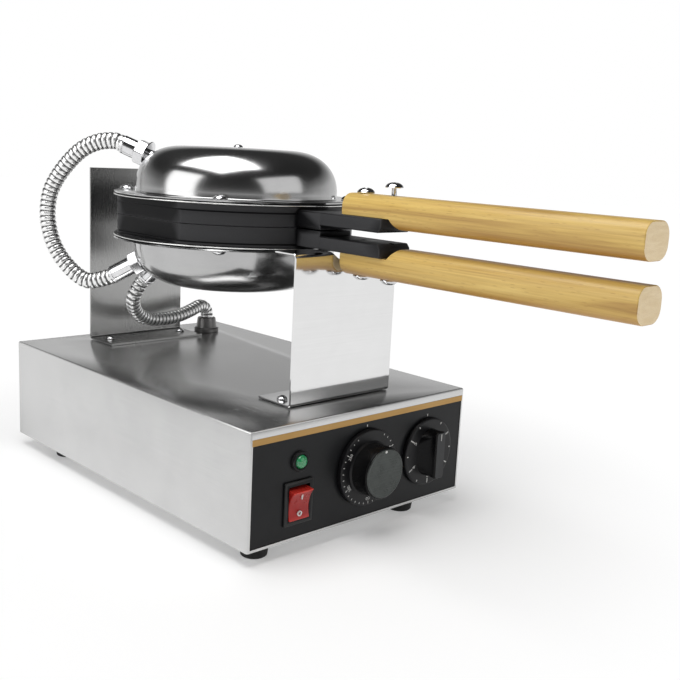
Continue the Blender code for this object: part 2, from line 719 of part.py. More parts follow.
def make_pivot():
    """The hinge pin, the roll shaft's boss on the lower plate, the shaft, its washer and its nut."""
    lower, upper = bpy.data.objects["lower_plate"], bpy.data.objects["upper_plate"]
    w = LOWER_KNUCKLE
    neck = box("shaft_neck", (-w, HINGE_BACK, -w), (w, SHAFT_BOSS_FRONT + 0.004, w))
    boss = aim(rod("shaft_boss", 0.0115, SHAFT_BOSS_FRONT, SHAFT_BOSS_BACK), (0, 0, 0), BACK)
    join(lower, neck, boss)
    for half, plate in (("lower", lower), ("upper", upper)):
        hole = hollow(half + "_pin_hole", PIN_RADIUS + 0.0001, -0.03, 0.03, (0, HINGE_BACK, 0), (1, 0, 0))
        cut(plate, hole)
        ride(bpy.data.objects[half + "_half"], plate)

    end = UPPER_KNUCKLE[1] + 0.0004
    pin = [
        (0, end + 0.002), (0.0042, end + 0.002), (0.0045, end), (PIN_RADIUS, end),
        (PIN_RADIUS, -end - 0.0022), (0, -end - 0.0022),
    ]
    aim(turned("hinge_pin", pin, CHROME), (0, IRON_Y + HINGE_BACK, ROLL_Z), (1, 0, 0))

    start = IRON_Y + SHAFT_BOSS_BACK + GAP
    collar = REAR_SUPPORT_Y - 0.0020 - GAP - start
    plate_back = REAR_SUPPORT_Y + SUPPORT_SHEET - start
    end = plate_back + 0.0125
    shaft = [
        (0, end), (SHAFT_RADIUS - 0.0008, end), (SHAFT_RADIUS, end - 0.0008), (SHAFT_RADIUS, collar),
        (0.0095, collar), (0.0095, 0), (0, 0),
    ]
    aim(turned("roll_shaft", shaft, CHROME), (0, start, ROLL_Z), BACK)
    face = start + plate_back + GAP
    bore = SHAFT_RADIUS + 0.0003
    washer = [(0.0115, 0.0014), (0.0115, 0), (bore, 0), (bore, 0.0014)]
    aim(turned("shaft_washer", washer, CHROME, closed=True), (0, face + GAP, ROLL_Z), BACK)
    nut_seat = (0, face + 2 * GAP + 0.0014, ROLL_Z)
    nut = aim(rod("shaft_nut", 0.0100, 0, 0.0070, CHROME, sides=6), nut_seat, BACK)
    cut(nut, hollow("shaft_nut_bore", bore, -0.002, 0.010, nut_seat, BACK))


# ---------------------------------------------------------------- hoses

def in_plane(plane, radius, height):
    """A point by its distance from the iron's middle in a plane, and its height over ROLL_Z."""
    return Vector((radius * cos(radians(plane)), IRON_Y + radius * sin(radians(plane)), ROLL_Z + height))


def hose_end(fitting, plane, ferrule):
    """Where a hose meets its ferrule, and the way it leaves."""
    radius, height, slope = fitting
    along = NUT_THICK / 2 + ferrule + GAP
    turn = radians(slope)
    end = in_plane(plane, radius + along * cos(turn), height + along * sin(turn))
    further = in_plane(plane, radius + (along + 1) * cos(turn), height + (along + 1) * sin(turn))
    return end, further - end


def hose(name, radius, first, between, last):
    """A hose from one (end, way out) to another, straight for its first few millimetres at each."""
    (start, start_way), (end, end_way) = first, last
    lead = 0.004
    route = smooth_route([start + start_way * lead, *between, end + end_way * lead], 2)
    tube(name, [start, *route, end], radius, CHROME)


def make_hoses():
    """The armoured hose between the domes, and the one from the lower dome to the base."""
    between = [
        (0.1140, 0.0598), (0.1280, 0.0577), (0.1440, 0.0495), (0.1600, 0.0330), (0.1710, 0.0155),
        (0.1748, 0.0), (0.1748, -0.0150), (0.1710, -0.0310), (0.1635, -0.0450), (0.1540, -0.0555),
        (0.1455, -0.0620), (0.1350, -0.0655),
    ]
    first = hose_end(UPPER_FITTING, LINK_PLANE, UPPER_FERRULE)
    last = hose_end(LOWER_FITTING, LINK_PLANE, LOWER_FERRULE)
    hose("link_hose", HOSE_RADIUS, first, [in_plane(LINK_PLANE, *point) for point in between], last)

    between = [
        (-0.0400, 0.0960, 0.1500), (-0.0315, 0.1055, 0.1350), (-0.0160, 0.1120, 0.1255),
        (0.0050, 0.1160, 0.1225), (0.0260, 0.1200, 0.1232), (0.0450, 0.1260, 0.1262),
        (0.0600, 0.1315, 0.1290), (0.0690, 0.1345, 0.1255),
    ]
    first = hose_end(BASE_FITTING, BASE_FITTING_PLANE, BASE_FERRULE)
    last = (Vector((*HOSE_GLAND, BASE_TOP_Z + BASE_GLAND_HEIGHT + GAP)), Vector(UP))
    hose("base_hose", HOSE_RADIUS - 0.0006, first, [Vector((x, BASE_Y + y, z)) for x, y, z in between], last)

    tall = BASE_GLAND_HEIGHT
    gland = [
        (HOSE_RADIUS + 0.0018, tall), (HOSE_RADIUS + 0.0022, tall - 0.001), (0.0105, 0.0045),
        (0.0125, 0.0035), (0.0125, GAP), (0.0080, GAP), (0.0080, -0.010), (0.0050, -0.010), (0.0050, tall),
    ]
    turned("base_hose_gland", gland, RUBBER, closed=True).location = (*HOSE_GLAND, BASE_TOP_Z)


# ---------------------------------------------------------------- the whole machine

make_housing()
make_pan_and_feet()
make_panel()
make_lamp()
make_switch()
make_dials()
make_inner_and_rear()
make_supports()
make_half(
    "upper", 0.0,
    [("upper_hose_fitting", UPPER_FITTING, LINK_PLANE, UPPER_FERRULE, 0.009)],
    [UPPER_KNUCKLE, (-UPPER_KNUCKLE[1], -UPPER_KNUCKLE[0])],
)
make_half(
    "lower", pi,
    [
        ("lower_hose_fitting", turned_over(LOWER_FITTING), 180 - LINK_PLANE, LOWER_FERRULE, 0.012),
        ("base_hose_fitting", turned_over(BASE_FITTING), 180 - BASE_FITTING_PLANE, BASE_FERRULE, 0.010),
    ],
    [(-LOWER_KNUCKLE, LOWER_KNUCKLE)],
)
make_pivot()
make_hoses()
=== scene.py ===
"""The looks of the waffle cone maker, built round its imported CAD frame. Metres, +Z up, the user at -Y."""

import json
from math import cos, pi, radians, sin

import bmesh
import bpy
from mathutils import Matrix, Vector


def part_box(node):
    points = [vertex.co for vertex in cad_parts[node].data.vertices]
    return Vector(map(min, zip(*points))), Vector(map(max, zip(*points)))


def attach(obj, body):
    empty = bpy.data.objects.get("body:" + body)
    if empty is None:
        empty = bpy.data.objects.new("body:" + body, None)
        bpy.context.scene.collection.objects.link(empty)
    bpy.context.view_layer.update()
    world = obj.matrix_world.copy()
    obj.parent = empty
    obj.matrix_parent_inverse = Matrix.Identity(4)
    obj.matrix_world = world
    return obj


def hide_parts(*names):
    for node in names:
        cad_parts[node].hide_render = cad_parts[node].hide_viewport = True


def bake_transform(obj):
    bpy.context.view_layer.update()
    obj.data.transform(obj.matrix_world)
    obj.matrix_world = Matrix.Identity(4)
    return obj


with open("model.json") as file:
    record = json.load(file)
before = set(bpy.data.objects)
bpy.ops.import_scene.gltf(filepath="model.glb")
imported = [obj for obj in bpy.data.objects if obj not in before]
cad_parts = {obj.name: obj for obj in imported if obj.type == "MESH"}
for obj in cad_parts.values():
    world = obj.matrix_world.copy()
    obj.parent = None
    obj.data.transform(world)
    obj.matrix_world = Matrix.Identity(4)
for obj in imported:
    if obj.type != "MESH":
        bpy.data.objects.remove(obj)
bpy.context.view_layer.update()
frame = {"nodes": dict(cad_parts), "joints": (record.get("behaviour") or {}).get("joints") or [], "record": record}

JOINTS = {joint["name"]: joint for joint in frame["joints"]}
IRON = Vector(JOINTS["iron_roll"]["pos_m"])
HINGE = Vector(JOINTS["lid_open"]["pos_m"])
PANEL_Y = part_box("control_panel")[0].y
BASE_LOW, BASE_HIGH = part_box("base_housing")
BASE_Y = (BASE_LOW.y + BASE_HIGH.y) / 2
# Each half is made upwards from the parting plane, and the lower one is then turned over about Y.
HALVES = {
    "upper": Matrix.Translation(IRON),
    "lower": Matrix.Translation(IRON) @ Matrix.Rotation(pi, 4, "Y"),
}

FINE = 128  # steps round the plates and domes
ROUND = 48  # steps round the small pieces
DIAL = 96  # steps round the dials

# The studio
HORIZON_WAY = (0.695, 0.719, 0)
FLOOR_FADE = (0.16, 0.46)  # how far from the machine the floor starts and ends its fade to white
LINE_LENGTH = 160  # how many times longer than wide a brush line is

# The iron
DOME_RADIUS = 0.0865
DOME_TOP = 0.0592
DOME_FLAT = 0.045
DOME_FOOT = 0.0207
FLANGE_TOP = 0.0195
SHEET = 0.0011
RIM_RADIUS = 0.104
WALL_RADIUS = 0.1008
SIDE_FLAT = 0.0895
CAVITY_RADIUS = 0.082
CAVITY_FLOOR = 0.0026
PARTING = 0.0002
POCKET_RADIUS = 0.078
WEB_BACK = 0.0115
WALL_TOP = 0.0160
TONGUE_HALF = 0.0165
TONGUE_INNER = 0.0040
TONGUE_OUTER = 0.0142
TONGUE_ROOT_END = 0.1265
TONGUE_END = 0.190
HANDLE_START = 0.1460
HANDLE_NOTCH_END = 0.1960
HANDLE_NOTCH_FOOT = 0.2010
HANDLE_HALF = 0.014
HANDLE_INNER = 0.0069
HANDLE_OUTER = 0.0305
HANDLE_SCREWS = (0.1574, 0.1860)
HANDLE_CORNER = 0.0092
HANDLE_END_ROUND = 0.0008
HANDLE_START_ROUND = 0.0015
PLATE_EDGE = 0.094  # where the tongue and the knuckles grow out of the plate
KNUCKLE = 0.009
LOWER_KNUCKLE = 0.0085
# Each knuckle along the pin, from low X to high X
KNUCKLES = {"upper": ((0.0090, 0.0190), (-0.0190, -0.0090)), "lower": ((-LOWER_KNUCKLE, LOWER_KNUCKLE),)}

# The hoses, as in the CAD model
HOSE_RADIUS = 0.0072
RIB_PITCH = 0.0047
LINK_PLANE = 127
NUT_THICK = 0.010
NUT_RADIUS = 0.0115
# Each nut's upright plane, its radius and height from the iron's middle, its slope and its ferrule
FITTINGS = {
    "upper": (LINK_PLANE, 0.0862, 0.0505, 21, 0.0145),
    "lower": (LINK_PLANE, 0.0895, -0.0454, -29, 0.0225),
    "base": (110, 0.0850, -0.0520, -42, 0.0120),
}
GAP = 0.0003


# ------------------------------ camera, light and stage

def placed(name, data):
    """A new object in the scene."""
    obj = bpy.data.objects.new(name, data)
    bpy.context.scene.collection.objects.link(obj)
    return obj


def make_camera():
    place = Vector((-0.505022, -0.556831, 0.291888))
    azimuth, elevation, roll = radians(-43.998), radians(11.212), radians(2.886)
    back = Vector((sin(azimuth) * cos(elevation), -cos(azimuth) * cos(elevation), sin(elevation)))
    level = (-back).cross(Vector((0, 0, 1))).normalized()
    above = level.cross(-back)
    right = level * cos(roll) + above * sin(roll)
    up = above * cos(roll) - level * sin(roll)
    data = bpy.data.cameras.new("camera")
    data.sensor_width = 36
    data.lens = 50.01
    data.clip_start = 0.01
    camera = placed("camera", data)
    camera.matrix_world = Matrix.Translation(place) @ Matrix((right, up, back)).transposed().to_4x4()
    bpy.context.scene.camera = camera


def softbox(name, place, target, size, power, colour=(1, 1, 1)):
    data = bpy.data.lights.new(name, "AREA")
    data.shape = "RECTANGLE"
    data.size, data.size_y = size
    data.energy = power
    data.color = colour
    light = placed(name, data)
    light.location = place
    light.rotation_euler = (Vector(target) - Vector(place)).to_track_quat("-Z", "Y").to_euler()


def sky(tree, height, stops):
    """A grey that follows the height of a direction, from -1 straight down to 1 straight up."""
    return ramp(tree, ranged(tree, height, -1, 1), *stops)


def make_world():
    """White to the camera. The metal reflects a dark room with a pale horizon behind the machine."""
    world = bpy.data.worlds.new("studio")
    bpy.context.scene.world = world
    world.use_nodes = True
    tree = world.node_tree
    tree.nodes.clear()
    way = new_node(tree, "TexCoord").outputs["Generated"]
    height = new_node(tree, "SeparateXYZ", {0: way}).outputs["Z"]
    behind = new_node(tree, "VectorMath", {0: way, 1: HORIZON_WAY}, operation="DOT_PRODUCT").outputs["Value"]
    front = sky(tree, height, ((0.50, 0.60), (0.53, 0.16), (0.62, 0.05), (0.80, 0.02)))
    back = sky(tree, height, ((0.50, 0.80), (0.58, 0.72), (0.63, 0.42), (0.72, 0.04)))
    room = mixed(tree, ranged(tree, behind, -0.2, 0.7), front, back)
    studio = new_node(tree, "Background", {"Color": room}).outputs[0]
    white = new_node(tree, "Background", {"Color": (1, 1, 1, 1)}).outputs[0]
    seen = new_node(tree, "LightPath").outputs["Is Camera Ray"]
    mix = new_node(tree, "MixShader", {"Fac": seen, 1: studio, 2: white}).outputs[0]
    new_node(tree, "OutputWorld", {"Surface": mix})


def white_paper():
    """Pale paper that takes a shadow near the machine and fades into the white background further off."""
    made, tree, shader = new_material("white_paper")
    ends = {0: new_node(tree, "TexCoord").outputs["Object"], 1: (0, BASE_Y, 0)}
    distance = new_node(tree, "VectorMath", ends, operation="DISTANCE").outputs["Value"]
    reach = ranged(tree, distance, *FLOOR_FADE, way="SMOOTHSTEP")
    feed(tree, shader, {
        "Base Color": ramp(tree, reach, (0.0, 0.80), (1.0, 0.0)),
        "Roughness": 0.9,
        "Specular IOR Level": 0.1,
        "Emission Color": (1, 1, 1, 1),
        "Emission Strength": ramp(tree, reach, (0.0, 0.24), (1.0, 1.0)),
    })
    return made


def make_stage():
    bm = bmesh.new()
    bmesh.ops.create_grid(bm, x_segments=1, y_segments=1, size=6)
    bare("floor", bm, white_paper())


def make_lights():
    softbox("top_box", (-0.35, 0.10, 1.55), (0, 0.05, 0.1), (1.3, 1.1), 19)
    softbox("left_box", (-1.60, 0.45, 0.80), (0, 0.10, 0.20), (1.2, 1.2), 10)
    softbox("front_box", (0.55, -1.90, 1.10), (0, 0.0, 0.15), (2.0, 1.4), 9)
    view = bpy.context.scene.view_settings
    view.view_transform = "Standard"
    view.look = "None"


# ------------------------------ materials

def new_material(name):
    made = bpy.data.materials.new(name)
    made.use_nodes = True
    return made, made.node_tree, made.node_tree.nodes["Principled BSDF"]


def feed(tree, made, inputs):
    """Links each of a node's inputs to a socket, or sets it to a value."""
    for key, value in inputs.items():
        if isinstance(value, bpy.types.NodeSocket):
            tree.links.new(value, made.inputs[key])
        else:
            made.inputs[key].default_value = value


def new_node(tree, kind, inputs=None, **settings):
    """A shader node with these settings and inputs."""
    made = tree.nodes.new("ShaderNode" + kind)
    for name, value in settings.items():
        setattr(made, name, value)
    feed(tree, made, inputs or {})
    return made


def scaled(tree, stretch):
    """The piece's own metres, times a stretch along X, Y and Z."""
    place = new_node(tree, "TexCoord").outputs["Object"]
    return new_node(tree, "Mapping", {"Vector": place, "Scale": stretch}).outputs["Vector"]


def noise(tree, stretch, detail=3.0, roughness=0.55, distortion=0.0):
    """Noise with this many cells a metre along X, Y and Z."""
    shape = {"Scale": 1.0, "Detail": detail, "Roughness": roughness, "Distortion": distortion}
    return new_node(tree, "TexNoise", {"Vector": scaled(tree, stretch), **shape}).outputs["Fac"]


def cells(tree, stretch):
    """The distance to the nearest of scattered points, this many a metre."""
    return new_node(tree, "TexVoronoi", {"Vector": scaled(tree, stretch), "Scale": 1.0}).outputs["Distance"]


def filled(colour):
    """A socket as it is, and a colour or a grey level with its alpha."""
    if isinstance(colour, bpy.types.NodeSocket):
        return colour
    return (*colour, 1) if isinstance(colour, tuple) else (colour, colour, colour, 1)


def ramp(tree, source, *stops):
    """The source through a colour ramp of (place, colour or grey level) stops."""
    made = new_node(tree, "ValToRGB", {"Fac": source})
    elements = made.color_ramp.elements
    for i, (place, colour) in enumerate(stops):
        stop = elements[i] if i < 2 else elements.new(place)
        stop.position = place
        stop.color = filled(colour)
    return made.outputs["Color"]


def mixed(tree, share, first, second, way="MIX"):
    """Two colours mixed by a share. Each of the three is a socket or a value."""
    inputs = {0: share, 6: filled(first), 7: filled(second)}
    return new_node(tree, "Mix", inputs, data_type="RGBA", blend_type=way).outputs[2]


def ranged(tree, value, low, high, to_low=0.0, to_high=1.0, way="LINEAR"):
    """The value as it goes from low to high, made to go from to_low to to_high and no further."""
    inputs = {"Value": value, "From Min": low, "From Max": high, "To Min": to_low, "To Max": to_high}
    return new_node(tree, "MapRange", inputs, interpolation_type=way).outputs["Result"]


def spread(tree, source, low, high):
    """The middle of a noise's range stretched to run from low to high."""
    return ranged(tree, source, 0.30, 0.70, low, high)


def bump(tree, shader, source, strength, distance):
    """Adds a layer of bump over those that the shader already has."""
    normal = shader.inputs["Normal"]
    inputs = {"Height": source, "Strength": strength, "Distance": distance}
    if normal.is_linked:
        inputs["Normal"] = normal.links[0].from_socket
    tree.links.new(new_node(tree, "Bump", inputs).outputs["Normal"], normal)


def edges(tree, low, high):
    """White on convex edges."""
    return ramp(tree, new_node(tree, "NewGeometry").outputs["Pointiness"], (low, 0.0), (high, 1.0))


def metal(name, dark, light, rough, along, lines, line_scale=2600, smudge=24):
    """Steel with smudges, and brush lines or polishing scratches that run along one axis."""
    made, tree, shader = new_material(name)
    stretch = [line_scale] * 3
    stretch["XYZ".index(along)] = line_scale / LINE_LENGTH
    brushed = noise(tree, stretch, 4.0, 0.6)
    cloudy = noise(tree, (smudge, smudge, smudge), 4.0, 0.6, 0.4)
    tones = [ramp(tree, source, (0.3, dark), (0.7, light)) for source in (brushed, cloudy)]
    gloss = [spread(tree, source, *rough) for source in (brushed, cloudy)]
    feed(tree, shader, {
        "Metallic": 1.0,
        "Base Color": mixed(tree, 0.5, *tones),
        "Roughness": mixed(tree, 0.45, *gloss),
    })
    bump(tree, shader, brushed, lines, 0.00004)
    return made


def cast_iron():
    """Black coated iron with a rough skin, lighter grey on its convex edges."""
    made, tree, shader = new_material("black_casting")
    grain = noise(tree, (1500, 1500, 1500), 4.0)
    patches = noise(tree, (70, 70, 70), 5.0, 0.65)
    base = ramp(tree, patches, (0.3, (0.003, 0.003, 0.0034)), (0.7, (0.007, 0.007, 0.0078)))
    feed(tree, shader, {
        "Base Color": mixed(tree, edges(tree, 0.515, 0.56), base, (0.045, 0.045, 0.047)),
        "Roughness": spread(tree, patches, 0.34, 0.50),
        "Specular IOR Level": 0.09,
    })
    bump(tree, shader, grain, 0.35, 0.0002)
    bump(tree, shader, patches, 0.15, 0.0006)
    return made


WOOD_DARK = (0.40, 0.215, 0.050)
WOOD_MIDDLE = (0.66, 0.44, 0.115)
WOOD_LIGHT = (0.77, 0.56, 0.18)
# Painted shade: the darker tone given to faces that look down
WOOD_UNDERSIDE_SHADE = (0.36, 0.165, 0.028)


def underside(tree):
    """A share that grows on faces that look down: painted shade, darkening the wood where less light reaches it.
    """
    normal = new_node(tree, "NewGeometry").outputs["Normal"]
    height = new_node(tree, "SeparateXYZ", {0: normal}).outputs["Z"]
    return ranged(tree, height, -0.15, -0.85, 0.0, 0.8)


def end_grain():
    """The sawn end of a handle: pale, with growth rings and dark pores."""
    made, tree, shader = new_material("beech_end")
    rings = noise(tree, (60, 20, 260), 3.0, 0.6, 0.5)
    pores = ramp(tree, cells(tree, (1500, 60, 1500)), (0.12, 0.45), (0.30, 0.0))
    tone = ramp(tree, rings, (0.3, (0.84, 0.65, 0.38)), (0.7, (0.95, 0.78, 0.52)))
    feed(tree, shader, {
        "Base Color": mixed(tree, pores, tone, (0.42, 0.25, 0.12)),
        "Roughness": spread(tree, rings, 0.55, 0.7),
    })
    bump(tree, shader, pores, 0.2, 0.0001)
    return made


def beech():
    """Long grain along Y, darker growth bands, and the short dark flecks of beech."""
    made, tree, shader = new_material("oiled_beech")
    bands = noise(tree, (58, 3.0, 85), 4.0, 0.6, 1.1)
    grain = noise(tree, (620, 13, 620), 5.0, 0.65)
    tone = ramp(tree, bands, (0.32, WOOD_DARK), (0.50, WOOD_MIDDLE), (0.70, WOOD_LIGHT))
    fine = ramp(tree, grain, (0.32, (0.74, 0.66, 0.54)), (0.60, 1.0))
    flecks = ramp(tree, cells(tree, (640, 95, 640)), (0.10, 0.5), (0.24, 0.0))
    flecked = mixed(tree, flecks, mixed(tree, 0.75, tone, fine, "MULTIPLY"), WOOD_DARK)
    feed(tree, shader, {
        # Faces that look down are darkened towards the shade tone: painted shade.
        "Base Color": mixed(tree, underside(tree), flecked, WOOD_UNDERSIDE_SHADE),
        "Roughness": spread(tree, grain, 0.36, 0.52),
        "Coat Weight": 0.18,
        "Coat Roughness": 0.28,
    })
    bump(tree, shader, grain, 0.16, 0.00025)
    bump(tree, shader, flecks, 0.10, 0.0001)
    return made


def moulded(name, colour, rough, grain=1400, strength=0.12, worn=None, coat=0.0, shine=0.3):
    """Moulded plastic, rubber or paint with a fine texture, and its edges rubbed to the worn colour."""
    made, tree, shader = new_material(name)
    cloudy = noise(tree, (45, 45, 45), 4.0, 0.6)
    dark = tuple(0.75 * c for c in colour)
    light = tuple(min(1.0, 1.2 * c) for c in colour)
    body = ramp(tree, cloudy, (0.3, dark), (0.7, light))
    if worn:
        body = mixed(tree, edges(tree, 0.52, 0.58), body, worn)
    feed(tree, shader, {
        "Base Color": body,
        "Roughness": spread(tree, cloudy, *rough),
        "Specular IOR Level": shine,
        "Coat Weight": coat,
        "Coat Roughness": 0.12,
    })
    bump(tree, shader, noise(tree, (grain, grain, grain)), strength, 0.0001)
    return made


def lamp_green():
    """Moulded green glass with small facets that catch the light."""
    made, tree, shader = new_material("lamp_green")
    facets = cells(tree, (620, 620, 620))
    feed(tree, shader, {
        "Base Color": ramp(tree, facets, (0.1, (0.008, 0.15, 0.055)), (0.6, (0.035, 0.34, 0.13))),
        "Roughness": spread(tree, facets, 0.08, 0.16),
        "Subsurface Weight": 0.3,
        "Subsurface Scale": 0.002,
        "Coat Weight": 0.8,
    })
    bump(tree, shader, facets, 0.25, 0.0003)
    return made


BRUSHED = metal("brushed_stainless", 0.56, (0.65, 0.65, 0.645), (0.20, 0.28), "Y", 0.06)
UPRIGHT = metal("upright_stainless", (0.40, 0.40, 0.395), (0.46, 0.46, 0.455), (0.20, 0.30), "Z", 0.06)
POLISHED = metal("polished_stainless", 0.42, 0.52, (0.15, 0.21), "X", 0.02)
MIRROR = metal("mirror_stainless", 0.72, 0.78, (0.06, 0.12), "X", 0.015)
CHROME = metal("bright_plating", (0.66, 0.66, 0.67), (0.80, 0.80, 0.81), (0.08, 0.17), "Z", 0.03, 1400, 160)
HOSE_BAND = metal("hose_rib", 0.84, (0.94, 0.94, 0.93), (0.26, 0.36), "Z", 0.02, 1400, 220)
# Painted shade: dark steel for the grooves between the hose's ribs
HOSE_GROOVE_SHADE = metal("hose_groove_painted_shade", 0.16, 0.26, (0.3, 0.4), "Z", 0.03, 1400, 220)
RIM = metal("rim_sheet", (0.66, 0.66, 0.65), (0.80, 0.80, 0.79), (0.14, 0.26), "Z", 0.03, 1200, 90)
SHEATH = metal("heater_sheath", 0.16, (0.30, 0.29, 0.28), (0.35, 0.52), "Z", 0.05)
BRONZE = metal("sintered_bronze", (0.42, 0.25, 0.10), (0.58, 0.38, 0.17), (0.30, 0.45), "Z", 0.05)
GOLD = metal("gold_band", (0.36, 0.215, 0.075), (0.48, 0.30, 0.12), (0.30, 0.44), "X", 0.04, 1100)
CAP = metal("dark_cap", (0.050, 0.054, 0.052), (0.085, 0.092, 0.088), (0.24, 0.34), "X", 0.05, 1500, 120)
CAST = cast_iron()
WOOD = beech()
WOOD_END = end_grain()
PANEL = moulded("panel_paint", (0.009, 0.0095, 0.0105), (0.30, 0.40), 900, 0.10, shine=0.22)
KNOB = moulded("knob_plastic", (0.003, 0.003, 0.0035), (0.20, 0.30), 1600, 0.06, 0.02, shine=0.14)
BEZEL = moulded("bezel_plastic", (0.006, 0.006, 0.007), (0.30, 0.42), 1800, 0.10, 0.03, shine=0.2)
SKIRT = moulded("skirt_plastic", (0.005, 0.005, 0.006), (0.34, 0.46), 1700, 0.10)
# Painted light: a lighter grey for the knob's face that is turned out to the front
GRIP_FACE_LIT = moulded("grip_face_painted_light", (0.030, 0.031, 0.033), (0.34, 0.46), 1700, 0.12)
RED = moulded("rocker_red", (0.34, 0.008, 0.006), (0.22, 0.32), 700, 0.05, (0.70, 0.05, 0.035), 0.2)
RUBBER = moulded("foot_rubber", (0.018, 0.018, 0.018), (0.62, 0.80), 1300, 0.25)
PRINT = moulded("white_print", (0.72, 0.72, 0.70), (0.45, 0.6))
CERAMIC = moulded("white_ceramic", (0.74, 0.73, 0.69), (0.45, 0.6), 1200, 0.2)
GREY_PLASTIC = moulded("grey_plastic", (0.26, 0.26, 0.27), (0.4, 0.55), 1500, 0.2)
GREEN = lamp_green()


# ------------------------------ shapes

def bare(name, bm, *surfaces):
    """A new object that isn't settled on a body yet."""
    mesh = bpy.data.meshes.new(name)
    bm.normal_update()
    bm.to_mesh(mesh)
    bm.free()
    for surface in surfaces:
        mesh.materials.append(surface)
    return placed(name, mesh)


def smooth(obj, angle=32):
    obj.data.shade_smooth()
    obj.data.set_sharp_from_angle(angle=radians(angle))
    return obj


def settle(obj, body, slot, *nodes):
    """Smooths the piece, puts it on its body, and lets it stand for these CAD nodes."""
    smooth(obj)
    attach(obj, body)
    if nodes:
        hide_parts(*nodes)
    return obj


def piece(name, bm, surface, body, slot, *nodes):
    return settle(bare(name, bm, surface), body, slot, *nodes)


def shaped(obj, tools):
    """The object with each (operation, bmesh) applied to it."""
    helpers = []
    for i, (operation, bm) in enumerate(tools):
        tool = bare(f"{obj.name}_tool_{i}", bm)
        step = obj.modifiers.new(f"step_{i}", "BOOLEAN")
        step.operation = operation
        step.object = tool
        helpers.append(tool)
    graph = bpy.context.evaluated_depsgraph_get()
    mesh = bpy.data.meshes.new_from_object(obj.evaluated_get(graph))
    obj.modifiers.clear()
    obj.data = mesh
    for tool in helpers:
        bpy.data.objects.remove(tool)
    return obj


def moved(bm, matrix):
    bmesh.ops.transform(bm, matrix=matrix, verts=bm.verts)
    return bm


def lathe(points, steps=ROUND):
    """A solid from (radius, height) points turned about Z. One that isn't closed by the axis is a ring."""
    bm = bmesh.new()
    rings = []
    for r, z in points:
        if r < 1e-7:
            rings.append([bm.verts.new((0, 0, z))])
        else:
            turns = [2 * pi * i / steps for i in range(steps)]
            rings.append([bm.verts.new((r * cos(a), r * sin(a), z)) for a in turns])
    pairs = list(zip(rings, rings[1:]))
    if len(rings[0]) > 1:
        pairs.append((rings[-1], rings[0]))
    for a, b in pairs:
        if len(a) == len(b) == 1:  # along the axis
            continue
        for i in range(steps):
            j = (i + 1) % steps
            corners = [a[i % len(a)], b[i % len(b)], b[j % len(b)], a[j % len(a)]]
            bm.faces.new(dict.fromkeys(corners))
    bmesh.ops.recalc_face_normals(bm, faces=bm.faces[:])
    return bm


def eased(bm, width, segments=3):
    """Bevels every edge that is sharper than 25 degrees."""
    sharp = [edge for edge in bm.edges if edge.calc_face_angle(0) > radians(25)]
    bmesh.ops.bevel(bm, geom=sharp, offset=width, segments=segments, profile=0.5, affect="EDGES")
    return bm


def block(low, high, bevel=0.0, segments=3):
    bm = bmesh.new()
    bmesh.ops.create_cube(bm, size=1)
    size = [b - a for a, b in zip(low, high)]
    middle = [(a + b) / 2 for a, b in zip(low, high)]
    bmesh.ops.transform(bm, matrix=Matrix.LocRotScale(middle, None, size), verts=bm.verts)
    return eased(bm, bevel, segments) if bevel else bm


def rod(radius, low, high, sides=ROUND):
    return lathe([(0, high), (radius, high), (radius, low), (0, low)], sides)


def prism(outline, half_width, bevel=0.0):
    """A closed (y, z) outline drawn out across X."""
    bm = bmesh.new()
    side = bm.faces.new([bm.verts.new((-half_width, y, z)) for y, z in outline])
    grown = bmesh.ops.extrude_face_region(bm, geom=[side])
    far = [item for item in grown["geom"] if isinstance(item, bmesh.types.BMVert)]
    bmesh.ops.translate(bm, verts=far, vec=(2 * half_width, 0, 0))
    bmesh.ops.recalc_face_normals(bm, faces=bm.faces[:])
    return eased(bm, bevel) if bevel else bm


def loft(rings):
    """A solid through rings of points, capped at both ends."""
    bm = bmesh.new()
    made = [[bm.verts.new(point) for point in ring] for ring in rings]
    count = len(made[0])
    for a, b in zip(made, made[1:]):
        for i in range(count):
            j = (i + 1) % count
            bm.faces.new((a[i], a[j], b[j], b[i]))
    bm.faces.new(made[0][::-1])
    bm.faces.new(made[-1])
    bmesh.ops.recalc_face_normals(bm, faces=bm.faces[:])
    return bm


def merged(*parts):
    """Several bmeshes as one."""
    whole = bmesh.new()
    for bm in parts:
        mesh = bpy.data.meshes.new("part")
        bm.to_mesh(mesh)
        bm.free()
        whole.from_mesh(mesh)
        bpy.data.meshes.remove(mesh)
    return whole


def arc(centre, radius, start, end, steps):
    """Points round part of a circle, with the angles in degrees."""
    turns = [radians(start + (end - start) * i / steps) for i in range(steps + 1)]
    return [(centre[0] + radius * cos(a), centre[1] + radius * sin(a)) for a in turns]


def aimed(place, way):
    """The matrix that puts local Z along a direction, at a place."""
    return Matrix.Translation(place) @ Vector(way).to_track_quat("Z", "Y").to_matrix().to_4x4()


def on_panel(node):
    """The frame of a control: X right, Y up and Z out of the panel, at the node's middle."""
    low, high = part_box(node)
    x, _, z = (low + high) / 2
    return Matrix(((1, 0, 0, x), (0, 0, -1, PANEL_Y), (0, 1, 0, z), (0, 0, 0, 1)))


def words(text, size):
    """Raised figures with a flat face, centred on the origin."""
    data = bpy.data.curves.new("figures", "FONT")
    data.body = text
    data.size = size
    data.extrude = 0.00006
    data.align_x, data.align_y = "CENTER", "CENTER"
    data.resolution_u = 3
    holder = bpy.data.objects.new("figures", data)
    mesh = bpy.data.meshes.new_from_object(holder)
    bpy.data.objects.remove(holder)
    bm = bmesh.new()
    bm.from_mesh(mesh)
    bpy.data.meshes.remove(mesh)
    bmesh.ops.remove_doubles(bm, verts=bm.verts, dist=1e-7)
    return bm


# ------------------------------ the iron

